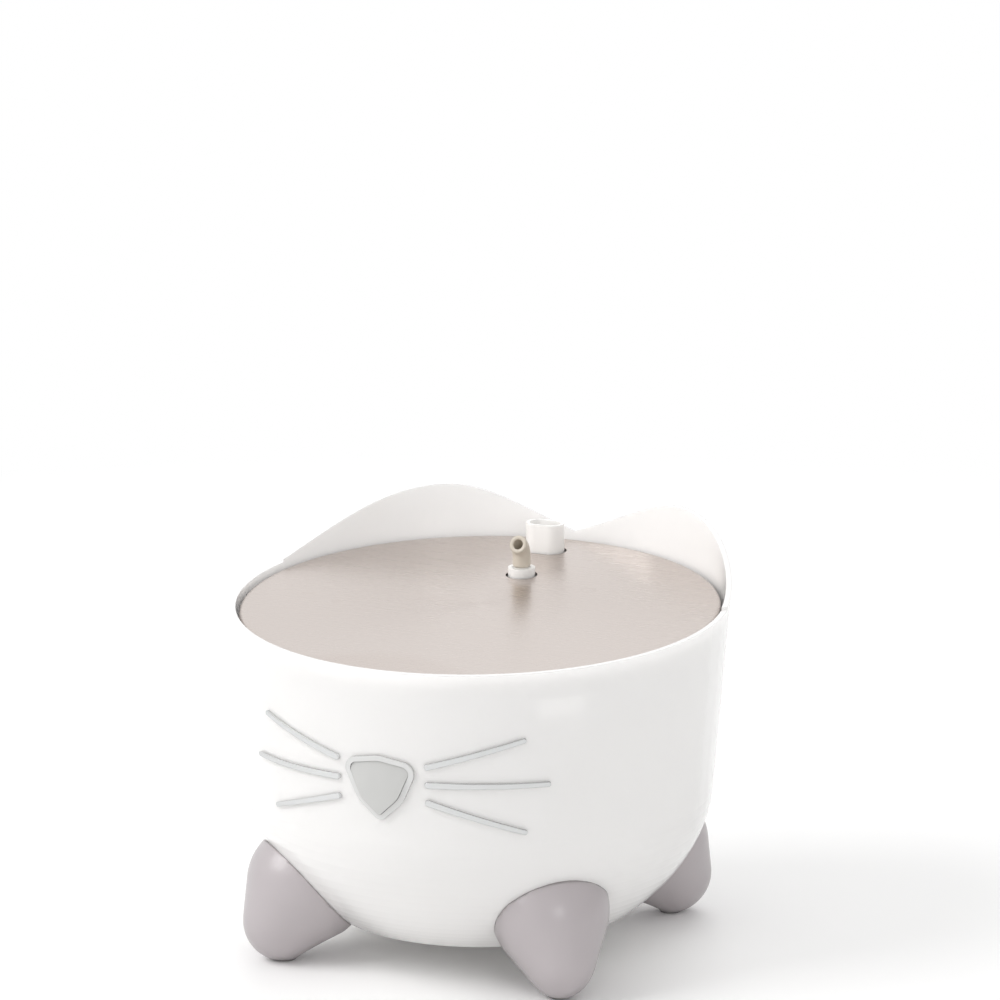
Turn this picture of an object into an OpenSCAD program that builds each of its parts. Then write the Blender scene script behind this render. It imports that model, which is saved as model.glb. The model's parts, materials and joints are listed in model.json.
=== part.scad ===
// Pet water fountain: a round bowl with a cat's face, ears and paws, in which a pump feeds a steel
// drinking top through a riser tube and a tray that carries a filter box. Millimetres, +Z up,
// front toward -Y, origin on the floor under the bowl's axis.

/* [Bowl] */
// Radius of the belly at its widest ring
belly_r = 102.5; // [98:0.5:108]
// Height of the belly's widest ring above the floor
belly_z = 77; // [74:0.5:80]
// Half height of the belly's round
belly_h = 80; // [78:0.5:83]
// Height of the flat underside above the floor
bottom_z = 15.5; // [14.5:0.5:17]
// Outward lean of the upper wall in degrees
wall_lean = 4.5; // [3.6:0.1:5.4]
// Thickness of the wall
wall_t = 2.4; // [2:0.1:3]
// Thickness of the floor
floor_t = 3; // [2.4:0.1:3.4]
// Height of the rim over the bowl's axis
rim_z = 152.4; // [150:0.2:156]
// Forward fall of the rim, the tray and the steel top in degrees
tilt = 2.5; // [2:0.1:3]

/* [Ears] */
// Rise of an ear above the rim
ear_rise = 26; // [18:0.5:32]
// Direction of an ear's tip from the front in degrees
ear_at = 148; // [144:0.5:151]
// Run of an ear's front flank
ear_front = 105; // [90:1:110]
// Run of an ear's rear flank
ear_back = 77; // [70:1:82]

/* [Rear bay] */
// Half width of the bay for the cord
bay_half = 38; // [34:0.5:42]
// Distance of the bay's panel inside the belly's widest ring
bay_in = 17.5; // [16.5:0.1:18.5]
// Height of the bay's roof
bay_z = 124; // [118:0.5:126]
// Corner radius of the bay
bay_round = 8; // [4:0.5:12]
// Bore of the grommet seat
grommet_d = 9; // [8:0.25:10]

/* [Feet] */
// Distance of the haunch's centre inside the belly's widest ring
haunch_in = 22.5; // [20.5:0.25:23.5]
// Height of the haunch's centre
haunch_z = 33; // [31:0.5:35]
// Radius of the haunch
haunch_r = 27; // [25.5:0.25:28.5]
// Distance of the toe's centre inside the belly's widest ring
toe_in = 11.5; // [9.5:0.25:13.5]
// Height of the toe's centre
toe_z = 18; // [17.2:0.1:18.4]
// Radius of the toe
toe_r = 18.5; // [18:0.1:20]
// Diameter of the rubber pad under a foot
pad_d = 9; // [7:0.25:10]
// Thickness of the rubber pad
pad_t = 1.6; // [1.2:0.1:2.4]

/* [Face] */
// Height of the nose's centre
nose_z = 97; // [94:0.5:100]
// Half distance of the nose's upper corners
nose_half = 10.2; // [9:0.1:12]
// Depth of the nose's point under its centre
nose_drop = 11.6; // [10:0.1:13]
// Width of the nose's bevelled border
bezel_w = 2.4; // [1.9:0.1:2.8]
// Height of the bezel and the whiskers over the wall
face_h = 1.3; // [0.8:0.1:1.8]
// Width of a whisker
whisker_w = 2.6; // [2:0.1:3.2]
// Inner end of the whiskers, degrees from the front
whisker_in = 11.5; // [10.8:0.1:13]

/* [Pump] */
// Width of the pump across its lamp face
pump_w = 34; // [32:0.5:36]
// Depth of the pump from the lamp face to the seam
pump_d = 39; // [38:0.5:41]
// Height of the pump
pump_h = 30; // [28:0.5:32]
// Depth of the intake cover
cover_d = 8; // [6:0.5:8.5]
// Turn of the lamp face from the front toward the left in degrees
pump_turn = 37; // [30:1:42]
// Distance of the pump's outlet inside the belly's widest ring
outlet_in = 56.5; // [55.5:0.5:58.5]
// Length of the outlet pipe
outlet_h = 20; // [17:0.5:22]
// Outer diameter of the outlet pipe
outlet_d = 9; // [8.4:0.1:9.6]
// Height of the moulded seat over the bowl's floor
seat_h = 9; // [8.5:0.5:11]
// Height of a suction cup
cup_h = 4; // [3:0.25:5]
// Diameter of the impeller
impeller_d = 20; // [17:0.5:21]
// Diameter of the impeller's shaft
shaft_d = 2.5; // [2:0.1:3]
// Diameter of the magnet rotor
rotor_d = 13.6; // [12:0.2:14.4]
// Diameter of the flow knob
knob_d = 8.6; // [7:0.2:9.6]
// Length of the flow knob
knob_h = 9; // [7:0.5:10]
// Diameter of the lamp
lamp_d = 2.7; // [2:0.1:3.5]

/* [Riser tube] */
// Outer diameter of the riser tube
riser_d = 15; // [14.8:0.1:16]
// Length of the riser tube
riser_h = 41.5; // [38:0.5:45]
// Reach of the riser tube over the pump's pipe and the tray's stub
riser_grip = 6; // [4:0.5:8]

/* [Steel top] */
// Thickness of the sheet
sheet_t = 0.8; // [0.6:0.05:1]
// Depth of the steel top's skirt
skirt_h = 8; // [7:0.25:9]
// Depth of the steel top under the rim
top_drop = 1.9; // [1:0.1:3]
// Half width of the drinking dip at the front
dip_half = 46; // [40:1:50]
// Depth of the drinking dip
dip_h = 2.2; // [1.6:0.1:2.6]

/* [Tray] */
// Wall of the tray
tray_t = 1.6; // [1.2:0.1:2]
// Depth of the tray's skirt
tray_skirt = 9; // [8.2:0.1:10]
// Depth of the tray's water pan
pan_h = 3; // [2:0.25:4]
// Width of the border between the pan's floor and the tray's edge
pan_border = 11.5; // [10.5:0.25:15]
// Outer diameter of the spout collar
collar_d = 12; // [11.6:0.1:12.8]
// Height of the collar over the tray's top
collar_h = 4.6; // [3.5:0.1:6]
// Width of the tower
tower_w = 17.6; // [15:0.2:19]
// Depth of the tower
tower_d = 11.6; // [10:0.2:12.4]
// Height of the tower over the tray's top
tower_h = 13.6; // [10:0.2:18]
// Distance of the tower inside the belly's widest ring
tower_in = 18; // [17:0.25:19.5]
// Reach of the filter plates under the tray's skirt
plate_drop = 12; // [11.4:0.2:14]
// Width of a rear leg
leg_w = 6; // [4:0.5:8]

/* [Filter box] */
// Width of the filter box
box_w = 84; // [82:0.5:88]
// Wall of the filter box
box_t = 1.6; // [1.2:0.1:1.9]
// Height of the filter box at its front lip
box_front = 21.7; // [19:0.25:24]
// Height of the filter box at its rear wall
box_rear = 32; // [29:0.25:32.4]
// Height of the curved lip
lip_h = 5.7; // [4.5:0.1:7]
// Half width of the curved lip
lip_half = 46; // [45:0.25:48]
// Free height between the curved lip and the tray's skirt
lip_free = 3.7; // [3:0.1:5]
// Spacing of the slots in the filter box's floor
slot_pitch = 7; // [6:0.5:10]

/* [Cartridge] */
// Free width between the cartridge's flange and the filter box's wall
flange_gap = 0.9; // [0.6:0.05:2.5]
// Thickness of the flange
flange_t = 1.5; // [1:0.1:2]
// Width of the flange's border round the pockets
pocket_border = 4.3; // [3.8:0.1:6]
// Depth of a pocket under the flange
pocket_h = 12.5; // [9:0.25:14]
// Diameter of the middle opening
middle_d = 16; // [12:0.5:18]

/* [Spout] */
// Diameter of the spout
spout_d = 8; // [7.2:0.1:8.6]
// Length of the spout's stem
stem_h = 9.6; // [8:0.2:12]
// Bore of the spout
spout_bore = 4.4; // [3.6:0.1:4.8]
// Radius of the elbow's bend
elbow_r = 6.8; // [5:0.1:8]
// Angle of the elbow's bend
elbow_bend = 68; // [40:1:80]

/* [Cord] */
// Diameter of the cord
cord_d = 4.2; // [3.6:0.1:5]
// Radius of the coil at its middle turn
coil_r = 23; // [21:0.5:26]
// Length of the plug's grip
plug_l = 26; // [20:0.5:30]
// Width of the plug's grip
plug_w = 15; // [12:0.5:18]

/* [Hidden] */
$fn = 96;

// Clearances
seat_gap = 0.3;      // between pieces that rest on each other
slide_gap = 0.4;     // around pieces that lift out
run_gap = 0.05;      // round a shaft, at the radius
eps = 0.02;

// Bowl
bay_y = belly_r - bay_in;
outlet_y = belly_r - outlet_in;
haunch_at = belly_r - haunch_in;
toe_at = belly_r - toe_in;
knee_z = belly_z - 7;
knee_r = belly_r * sqrt(1 - pow(7 / belly_h, 2));
top_z = rim_z + ear_rise + 12;
floor_in = bottom_z + floor_t;
function belly(z, a, h) = a * sqrt(1 - pow((belly_z - z) / h, 2));
function wall_out(z) = knee_r + (z - knee_z) * tan(wall_lean);
function wall_in(z) = wall_out(z) - wall_t;
BELLY_STEPS = 18;

// Heights of the stack
pump_z = floor_in + seat_h + cup_h;
pump_top = pump_z + pump_h;
outlet_top = pump_top + outlet_h;
riser_z = outlet_top - riser_grip;
riser_top = riser_z + riser_h;
stub_z = riser_top - riser_grip;
lid_z = rim_z - top_drop;
tray_z = lid_z - sheet_t - seat_gap;
fall = tan(tilt);
lid_r = wall_in(lid_z - belly_r * fall - skirt_h) - slide_gap;
tray_r = lid_r - sheet_t - slide_gap;
pan_r = tray_r - pan_border;
tower_y = belly_r - tower_in;
stem_z = tray_z + outlet_y * fall + collar_h - stem_h - 0.3;

// Pump in its own frame: the outlet's axis is the origin, the lamp face looks toward -Y
lamp_face = -28;
pump_right = 7.5;
pump_left = pump_right - pump_w;
seam_y = lamp_face + pump_d;
rotor_x = (pump_left + pump_right) / 2 - 1.5;
rotor_z = pump_h / 2;
chamber_d = impeller_d + 4;
chamber_y = seam_y - 17;
rotor_end = chamber_y - 15;
gland_x = 3.2;
gland_z = pump_h - 4.5;
gland_h = 4;
knob_x = pump_left + 6.2;
knob_z = pump_h - 8.4;
skin = 2;

// Filter box
lip_r = lid_r - 2;
lip_top = tray_z - lip_r * fall - tray_skirt - lip_free + 0.6;
box_z = lip_top - box_front;
lip_y = -sqrt(lip_r * lip_r - lip_half * lip_half);
front_r = lip_r - 7;
rear_y = -5;
corner_r = 14;
plate_t = 1.2;
plate_x = lip_half + 0.6;
plate_y = 1.5 - sqrt(pow(tray_r - tray_t, 2) - pow(plate_x + plate_t, 2));
latch_x = 9;
latch_w = 24;
snap_y = 38.7 - front_r;
snap_z = tray_z + snap_y * fall - tray_skirt - plate_drop + 2.6;

// Cartridge
cart_z = box_z + box_t + seat_gap;
flange_w = box_w - 2 * box_t - 2 * flange_gap;
flange_rear = rear_y - box_t - 0.5;
flange_d = front_r - box_t - 8 + flange_rear;
cart_y = flange_rear - flange_d / 2;
flange_z = cart_z + pocket_h;
pocket_rib = 4.4;
pocket_w = (flange_w - pocket_rib) / 2 - pocket_border;
pocket_d = (flange_d - pocket_rib) / 2 - pocket_border;
pocket_x = (pocket_w + pocket_rib) / 2;
pocket_y = (pocket_d + pocket_rib) / 2;

// Nose: four discs whose wrapped outline is the nose, each [x, z, radius]
NOSE = [[-nose_half, 6.2, 5.5], [nose_half, 6.2, 5.5], [0, 0.8, 12.6], [0, -nose_drop, 3.6]];

// Cord
cord_mid = cord_d / 2 + 0.2;
gland_end = [-gland_reach() * sin(pump_turn) + gland_x * cos(pump_turn),
    outlet_y - gland_reach() * cos(pump_turn) - gland_x * sin(pump_turn), pump_z + gland_z];
function gland_reach() = -lamp_face + gland_h + seat_gap;
coil_at = [-57, 134];
coil_w = 3 * cord_d + 0.2;
tie_t = 1;
coil_z = tie_t + seat_gap;
grommet_x = -22;
grommet_y = bay_y + 9;
ROUTE = [gland_end, [-26, 6, 57], [-40, -8, 52], [-58, -14, 44], [-76, -4, 46], [-85, 18, 58],
    [-84, 42, 78], [-74, 62, 98], [-61, 77, 117], [-51, 86.4, 127.5], [-41, 92.6, 135.8],
    [-34.7, 93.8, 139], [-28.5, 94.1, 138.1], [-23.8, 94, 134], [grommet_x, grommet_y, 128],
    [grommet_x, grommet_y, 120], [grommet_x, 94.6, 108], [grommet_x, 97, 88], [grommet_x, 99.5, 62],
    [grommet_x, 102, 38], [-23, 108, 18], [-26, 119, 6.5], [-29.4, 127, 3.6], [-29.7, 134, 3.4]];
LEAD = [[-66, 160.2, 7.7], [-76, 157.6, 6.4], [-87, 155.6, 4.4], [-96, 158, 4.2], [-103, 162, 4.2]];

// Outline of discs wrapped by a tight band, each disc [x, y, radius], taken in by d
function reach(s, u, i, best) = i == len(s) ? best
    : reach(s, u, i + 1, s[i][0] * u[0] + s[i][1] * u[1] + s[i][2]
        > s[best][0] * u[0] + s[best][1] * u[1] + s[best][2] ? i : best);
function wrap(s, d, n) = [for (i = [0:n - 1])
    let (u = [cos(360 * (i + 0.5) / n), sin(360 * (i + 0.5) / n)], b = reach(s, u, 1, 0))
    [s[b][0] + (s[b][2] - d) * u[0], s[b][1] + (s[b][2] - d) * u[1]]];

// Points of an arc about [x, y]
function arc(x, y, r, a0, a1, n) = [for (i = [0:n])
    let (a = a0 + (a1 - a0) * i / n) [x + r * cos(a), y + r * sin(a)]];

// Soft step from 0 to 1
function soft(t) = let (c = min(1, max(0, t))) c * c * (3 - 2 * c);

module rrect(w, d, r) {
    square([w - 2 * r, d], center = true);
    square([w, d - 2 * r], center = true);
    for (x = [-1, 1], y = [-1, 1]) translate([x * (w / 2 - r), y * (d / 2 - r)]) circle(r = r);
}

module slot(w, d) {
    square([w - d, d], center = true);
    for (x = [-1, 1]) translate([x * (w - d) / 2, 0]) circle(d = d);
}

// Everything that leans with the rim
module lean(z) {
    translate([0, 0, z]) rotate([tilt, 0, 0]) children();
}

// ---- Bowl ----------------------------------------------------------------------------------
// Half section of the bowl, taken in by d; z0 is its flat bottom
function bowl_half(d, z0) = concat([[0, z0]],
    [for (i = [0:BELLY_STEPS]) let (z = z0 + (knee_z - z0) * (1 - cos(90 * i / BELLY_STEPS)))
        [belly(z, belly_r - d, belly_h - d * 1.06), z]],
    [[wall_out(top_z) - d, top_z], [0, top_z]]);

module bowl_body(d = 0, z0 = bottom_z) {
    rotate_extrude() polygon(bowl_half(d, z0));
}

// Radial prism of an ear's outline, seen along the ear's direction
EAR_SIDE = 137;
ear_u = wall_out(rim_z + ear_rise) * sin(ear_at - EAR_SIDE);
function ear_edge(u) = rim_z - 0.6 + ear_rise
    * pow(cos(90 * min(1, abs(u - ear_u) / (u < ear_u ? ear_front : ear_back))), 2);
EAR_STEPS = 28;
module ear_prism() {
    span = ear_front + ear_back - 22;
    edge = [for (i = [0:EAR_STEPS]) let (u = ear_u - ear_front + 22 + span * i / EAR_STEPS)
        [u, ear_edge(u)]];
    rotate([0, 0, EAR_SIDE]) rotate([90, 0, 0]) linear_extrude(height = belly_r + 40)
        polygon(concat([[edge[0][0], rim_z - 40]], edge, [[edge[EAR_STEPS][0], rim_z - 40]]));
}

module below_rim() {
    lean(rim_z) translate([-200, -200, -260]) cube([400, 400, 260]);
}

module bay_plan(d) {
    depth = 60;
    translate([0, bay_y + d + depth / 2]) rrect(2 * (bay_half + wall_t - d), depth, bay_round - d / 2);
}

module seat_plan(d) {
    translate([(pump_left + pump_right) / 2, lamp_face + (pump_d + cover_d) / 2])
        rrect(pump_w - 1 - 2 * d, pump_d + cover_d - 3 - 2 * d, 5);
}

module at_pump(z = 0) {
    translate([0, outlet_y, z]) rotate([0, 0, -pump_turn]) children();
}

module wedge(a, half) {
    r = belly_r * 1.6;
    linear_extrude(height = top_z) polygon([[0, 0], [r * sin(a - half), -r * cos(a - half)],
        [r * sin(a + half), -r * cos(a + half)]]);
}

// Two lugs on the wall that carry the front of the tray
module lugs() {
    low = lid_z - 30;
    intersection() {
        bowl_body(wall_t / 2);
        difference() {
            rotate_extrude() polygon([[tray_r - 4.6, low + 14], [belly_r + 6, low], [belly_r + 8, lid_z],
                [tray_r - 4.6, lid_z]]);
            lean(tray_z - tray_skirt - seat_gap) translate([-200, -200, 0]) cube([400, 400, 60]);
        }
        union() {
            wedge(42.5, 6);
            wedge(-42.5, 6);
        }
    }
}

module bowl_shell() {
    color("white") difference() {
        union() {
            difference() {
                intersection() {
                    bowl_body();
                    union() {
                        below_rim();
                        ear_prism();
                        mirror([1, 0, 0]) ear_prism();
                    }
                }
                bowl_body(wall_t, floor_in);
            }
            intersection() {
                bowl_body(wall_t / 2);
                translate([0, 0, floor_in - 1]) linear_extrude(height = bay_z - floor_in + 1) bay_plan(0);
            }
            intersection() {
                bowl_body(wall_t / 2);
                at_pump(floor_in - 1) linear_extrude(height = seat_h + 1) seat_plan(0);
            }
            lugs();
            // Clip that guides the cord up the left wall
            rotate([0, 0, -117.8]) translate([0, 3.2 - wall_in(121), 115])
                translate([-1.5, -4.4, 0]) cube([3, 3.4, 12]);
        }
        // Bay, open to the rear
        translate([0, 0, -1]) linear_extrude(height = bay_z - wall_t + 1) bay_plan(wall_t);
        // Hollow under the pump's seat
        at_pump(bottom_z - 1) linear_extrude(height = seat_h + 1) translate([0, -4]) seat_plan(5);
        translate([grommet_x, grommet_y, bay_z - 10]) cylinder(d = grommet_d, h = 20);
        nose_prism(bezel_w / 2, 60);
    }
}

// ---- Feet ----------------------------------------------------------------------------------
// A haunch and a toe wrapped by one round skin, turned about the line through both and cut to
// the belly
module foot(a) {
    run = norm([toe_at - haunch_at, toe_z - haunch_z]);
    dip = atan2(haunch_z - toe_z, toe_at - haunch_at);
    lift = asin((haunch_r - toe_r) / run);
    difference() {
        rotate([0, 0, a]) translate([0, -haunch_at, haunch_z]) rotate([90 + dip, 0, 0]) rotate_extrude()
            polygon(concat([[0, -haunch_r]], arc(0, 0, haunch_r, -86, lift, 22),
                arc(0, run, toe_r, lift, 86, 20), [[0, run + toe_r]]));
        bowl_body(-0.1, bottom_z - 0.1);
        translate([-200, -200, sole_z - 60]) cube([400, 400, 60]);
        rotate([0, 0, a]) translate([0, -toe_at, -1]) cylinder(d = pad_d + 0.2, h = pad_t + 1.1);
    }
}
sole_z = 0.6;

module foot_front_left() { color("thistle") foot(-45); }
module foot_front_right() { color("thistle") foot(45); }
module foot_rear_left() { color("thistle") foot(-135); }
module foot_rear_right() { color("thistle") foot(135); }

module foot_pads() {
    color("dimgray") for (a = [-135, -45, 45, 135])
        rotate([0, 0, a]) translate([0, -toe_at, 0]) cylinder(d = pad_d, h = pad_t);
}

// ---- Face ----------------------------------------------------------------------------------
// Prism of the nose's outline, taken in by d, through the front wall; y0 is its inner end
module nose_prism(d, y0) {
    translate([-0.5, -y0, nose_z]) rotate([90, 0, 0])
        linear_extrude(height = belly_r + 20 - y0) polygon(wrap(NOSE, d, 60));
}

module wall_skin(lo, hi) {
    difference() {
        bowl_body(-hi);
        bowl_body(-lo, bottom_z - 5);
    }
}

module nose_lens() {
    color("lightgray") intersection() {
        nose_prism(bezel_w, 60);
        difference() {
            translate([0, -wall_out(nose_z) + 57.4, nose_z]) sphere(r = 60);
            bowl_body(wall_t - 0.8, bottom_z - 5);
        }
    }
}

module nose_bezel() {
    color("silver") union() {
        difference() {
            intersection() {
                nose_prism(0, 60);
                wall_skin(0.05, face_h);
            }
            nose_prism(bezel_w - 0.1, 50);
        }
        difference() {
            intersection() {
                nose_prism(bezel_w / 2 + 0.1, 60);
                wall_skin(-wall_t - 2.4, 0.3);
            }
            nose_prism(bezel_w - 0.1, 50);
        }
    }
}

module nose_gasket() {
    color("dimgray") difference() {
        intersection() {
            nose_prism(0.2, 60);
            wall_skin(-wall_t - 1.9, -wall_t - 0.1);
        }
        nose_prism(bezel_w / 2, 50);
    }
}

// One whisker: a bar on the wall from [angle, height] to [angle, height]
module whisker(a0, z0, a1, z1) {
    am = (a0 + a1) / 2;
    r = wall_out((z0 + z1) / 2) + face_h;
    u0 = r * sin(a0 - am);
    u1 = r * sin(a1 - am);
    intersection() {
        wall_skin(0.05, face_h);
        rotate([0, 0, am]) translate([0, -belly_r * 0.6, 0]) rotate([90, 0, 0])
            linear_extrude(height = belly_r * 0.6) polygon(wrap([[u0, z0, whisker_w / 2],
                [u1, z1, whisker_w / 2 - 0.3]], 0, 28));
    }
}

module whisker_left_upper() { color("gray") whisker(-whisker_in, nose_z + 10, -34.5, nose_z + 20.5); }
module whisker_left_middle() { color("gray") whisker(-whisker_in, nose_z + 1.2, -39.8, nose_z - 0.3); }
module whisker_left_lower() { color("gray") whisker(-whisker_in, nose_z - 7.6, -33, nose_z - 20); }
module whisker_right_upper() { color("gray") whisker(whisker_in, nose_z + 10, 33.5, nose_z + 22); }
module whisker_right_middle() { color("gray") whisker(whisker_in, nose_z + 2, 39.4, nose_z + 2); }
module whisker_right_lower() { color("gray") whisker(whisker_in, nose_z - 6, 34, nose_z - 19); }

module cord_grommet() {
    color("dimgray") translate([grommet_x, grommet_y, bay_z - wall_t / 2]) rotate_extrude()
        polygon([[cord_d / 2 + 0.3, -wall_t / 2 - 1.6], [grommet_d / 2 + 1.2, -wall_t / 2 - 1.6],
            [grommet_d / 2 + 1.2, -wall_t / 2 - 0.1], [grommet_d / 2 - 0.1, -wall_t / 2 - 0.1],
            [grommet_d / 2 - 0.1, wall_t / 2 + 0.1], [grommet_d / 2 + 1.2, wall_t / 2 + 0.1],
            [grommet_d / 2 + 1.2, wall_t / 2 + 1.2], [cord_d / 2 + 0.3, wall_t / 2 + 1.6]]);
}

// ---- Pump ----------------------------------------------------------------------------------
module pump_plan(y0, y1, d = 0) {
    translate([(pump_left + pump_right) / 2, (y0 + y1) / 2]) rrect(pump_w - 2 * d, y1 - y0 - 2 * d, 3 - d / 2);
}

// Prism along Y of the pump's section, with rounded long edges
module pump_section(y0, y1, d = 0) {
    translate([(pump_left + pump_right) / 2, y1, pump_h / 2]) rotate([90, 0, 0])
        linear_extrude(height = y1 - y0) rrect(pump_w - 2 * d, pump_h - 2 * d, max(1, 3 - d));
}

module along_y(x, z, y0, y1, d) {
    translate([x, y1, z]) rotate([90, 0, 0]) cylinder(d = d, h = y1 - y0);
}

module pump_housing() {
    color("ivory") at_pump(pump_z) difference() {
        union() {
            intersection() {
                pump_section(lamp_face, seam_y);
                linear_extrude(height = pump_h) pump_plan(lamp_face, seam_y + 10);
            }
            translate([0, 0, pump_h - 2]) cylinder(d = outlet_d, h = outlet_h + 2);
            // Ring the flow knob turns on
            along_y(knob_x, knob_z, lamp_face - 1, lamp_face + 1, knob_d - 1.4);
        }
        // Impeller chamber, rotor bore and the outlet that leaves the chamber at its edge
        along_y(rotor_x, rotor_z, chamber_y, seam_y + 1, chamber_d);
        along_y(rotor_x, rotor_z, rotor_end, chamber_y + 1, rotor_d + 1);
        along_y(rotor_x, rotor_z, rotor_end - 4, rotor_end + 1, shaft_d * 2.6);
        translate([0, 0, rotor_z]) cylinder(d = outlet_d - 2.4, h = pump_h + outlet_h);
        // Seats of the lamp, the sensor window, the gland and the knob's spindle
        along_y(-8.4, 10.7, lamp_face - 1, lamp_face + 3, lamp_d + 0.1);
        translate([-9.9, lamp_face - 1, 14.6]) cube([3, 2.2, 3]);
        along_y(gland_x, gland_z, lamp_face - 1, lamp_face + 5, cord_d + 1.9);
        along_y(knob_x, knob_z, lamp_face - 2, lamp_face + 7, 3 + 2 * run_gap);
        // Sockets of the suction cups
        for (x = [pump_left + 6, pump_right - 6], y = [lamp_face + 7, seam_y - 5])
            translate([x, y, -1]) cylinder(d = 4.1, h = 3.6);
    }
}

module lamp_lens() {
    color("red") at_pump(pump_z) along_y(-8.4, 10.7, lamp_face - 0.5, lamp_face + 2.9, lamp_d);
}

module sensor_window() {
    color("gray") at_pump(pump_z) translate([-9.8, lamp_face - 0.2, 14.7]) cube([2.8, 1.3, 2.8]);
}

module suction_cups() {
    color("whitesmoke") at_pump(pump_z)
        for (x = [pump_left + 6, pump_right - 6], y = [lamp_face + 7, seam_y - 5])
            translate([x, y, 0]) rotate_extrude() polygon([[0, -cup_h + 1], [3, -cup_h + seat_gap],
                [5, -cup_h + seat_gap], [5, -cup_h + 1], [2.8, -1.6], [2.8, -0.1], [2, -0.1], [2, 2.5], [0, 2.5]]);
}

module cord_gland() {
    color("lightgray") at_pump(pump_z) translate([gland_x, lamp_face + 4.9, gland_z]) rotate([90, 0, 0])
        rotate_extrude() polygon([[0, 0], [cord_d / 2 + 0.9, 0], [cord_d / 2 + 0.9, 4.9],
            [cord_d / 2 + 0.9, 6.5], [cord_d / 2 + 0.2, 4.9 + gland_h], [0, 4.9 + gland_h]]);
}

module impeller_shaft() {
    color("white") at_pump(pump_z) along_y(rotor_x, rotor_z, rotor_end - 3.4, seam_y + 4, shaft_d);
}

module bush(y0, y1) {
    difference() {
        along_y(rotor_x, rotor_z, y0, y1, shaft_d * 2.6 - 0.1);
        along_y(rotor_x, rotor_z, y0 - 1, y1 + 1, shaft_d + 2 * run_gap);
    }
}

module shaft_bush() {
    color("black") at_pump(pump_z) bush(rotor_end - 3.9, rotor_end - 0.4);
}

// Rear cover with the intake slots and the boss of the rear bush
module intake_cover() {
    slots = floor((pump_w - 10) / 4);
    y0 = seam_y + 0.1;
    y1 = seam_y + cover_d;
    color("ivory") at_pump(pump_z) difference() {
        union() {
            difference() {
                intersection() {
                    pump_section(y0, y1);
                    linear_extrude(height = pump_h) pump_plan(lamp_face, y1);
                }
                pump_section(y0 - 1, y1 - skin, skin);
            }
            along_y(rotor_x, rotor_z, seam_y + 0.6, y1 - 0.5, shaft_d * 2.6 + 3);
        }
        along_y(rotor_x, rotor_z, seam_y, seam_y + 4.6, shaft_d * 2.6);
        for (i = [0:slots - 1]) translate([(pump_left + pump_right) / 2 + (i - (slots - 1) / 2) * 4, y1, pump_h / 2])
            rotate([90, 0, 0]) for (z = [-1, 1]) translate([0, z * (pump_h / 4 - 0.5), -1])
                rotate([0, 0, 90]) linear_extrude(height = skin + 1.1) slot(pump_h / 2 - 7, 1.8);
    }
}

module cover_bush() {
    color("black") at_pump(pump_z) bush(seam_y + 1, seam_y + 4.4);
}

module impeller() {
    blades = 6;
    hub = shaft_d * 2.4;
    color("white") at_pump(pump_z) difference() {
        union() {
            along_y(rotor_x, rotor_z, chamber_y + 1.4, chamber_y + 3, impeller_d);
            along_y(rotor_x, rotor_z, rotor_end + 0.6, seam_y - 1, hub);
            for (i = [0:blades - 1]) translate([rotor_x, chamber_y + 2.5, rotor_z]) rotate([0, i * 360 / blades, 0])
                translate([hub / 2 - 0.6, 0, -0.6]) cube([impeller_d / 2 - hub / 2, seam_y - chamber_y - 5, 1.2]);
        }
        along_y(rotor_x, rotor_z, rotor_end - 1, seam_y + 1, shaft_d + 2 * run_gap);
    }
}

module rotor_magnet() {
    color("black") at_pump(pump_z) difference() {
        along_y(rotor_x, rotor_z, rotor_end + 1, chamber_y + 1, rotor_d);
        along_y(rotor_x, rotor_z, rotor_end, chamber_y + 2, shaft_d * 2.4 + 0.1);
    }
}

module flow_knob() {
    color("ivory") at_pump(pump_z) union() {
        difference() {
            along_y(knob_x, knob_z, lamp_face - 1.3 - knob_h, lamp_face - 1.3, knob_d);
            along_y(knob_x, knob_z, lamp_face - 3 - knob_h, lamp_face + 0.4 - knob_h, knob_d - 2.4);
            for (i = [0:11]) translate([knob_x, 0, knob_z]) rotate([0, i * 30, 0])
                along_y(knob_d / 2 + 0.25, 0, lamp_face - 4 - knob_h, lamp_face - 2.5, 1);
        }
        along_y(knob_x, knob_z, lamp_face - 2 - knob_h / 2, lamp_face + 6.5, 3);
        translate([knob_x - 0.5, lamp_face - 1 - knob_h, knob_z - knob_d / 2 + 1]) cube([1, 3, knob_d - 2]);
    }
}

// ---- Riser tube ----------------------------------------------------------------------------
stub_d = collar_d + 0.4;
riser_bore = stub_d + 0.2;
module riser_tube() {
    sleeve = riser_grip + 2;
    color("azure") translate([0, outlet_y, riser_z]) difference() {
        cylinder(d = riser_d, h = riser_h);
        translate([0, 0, sleeve]) cylinder(d = riser_bore, h = riser_h);
        translate([0, 0, -1]) cylinder(d = outlet_d + 0.1, h = riser_h);
    }
}

// ---- Steel top and tray --------------------------------------------------------------------
// Dip in the front edge: a round that sinks toward the edge; z is its depth at the edge
module dip_cut(z, r) {
    big = dip_half * dip_half / (2 * dip_h);
    intersection() {
        translate([0, -r, z + big]) rotate([-87 + 2, 0, 0]) translate([0, 0, -60]) cylinder(r = big, h = 90, $fn = 200);
        translate([-dip_half - 8, -r - 3, z - 4]) cube([2 * dip_half + 16, 40, 12]);
    }
}

// Arch that lifts the skirt's lower edge under the dip
module skirt_cut(z, r, lift) {
    big = dip_half * dip_half / (2 * lift);
    intersection() {
        translate([0, -r - 4, z + lift - big]) rotate([-90, 0, 0]) cylinder(r = big, h = 60, $fn = 200);
        translate([-dip_half - 8, -r - 3, z - 1]) cube([2 * dip_half + 16, 50, lift + 2]);
    }
}

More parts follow.
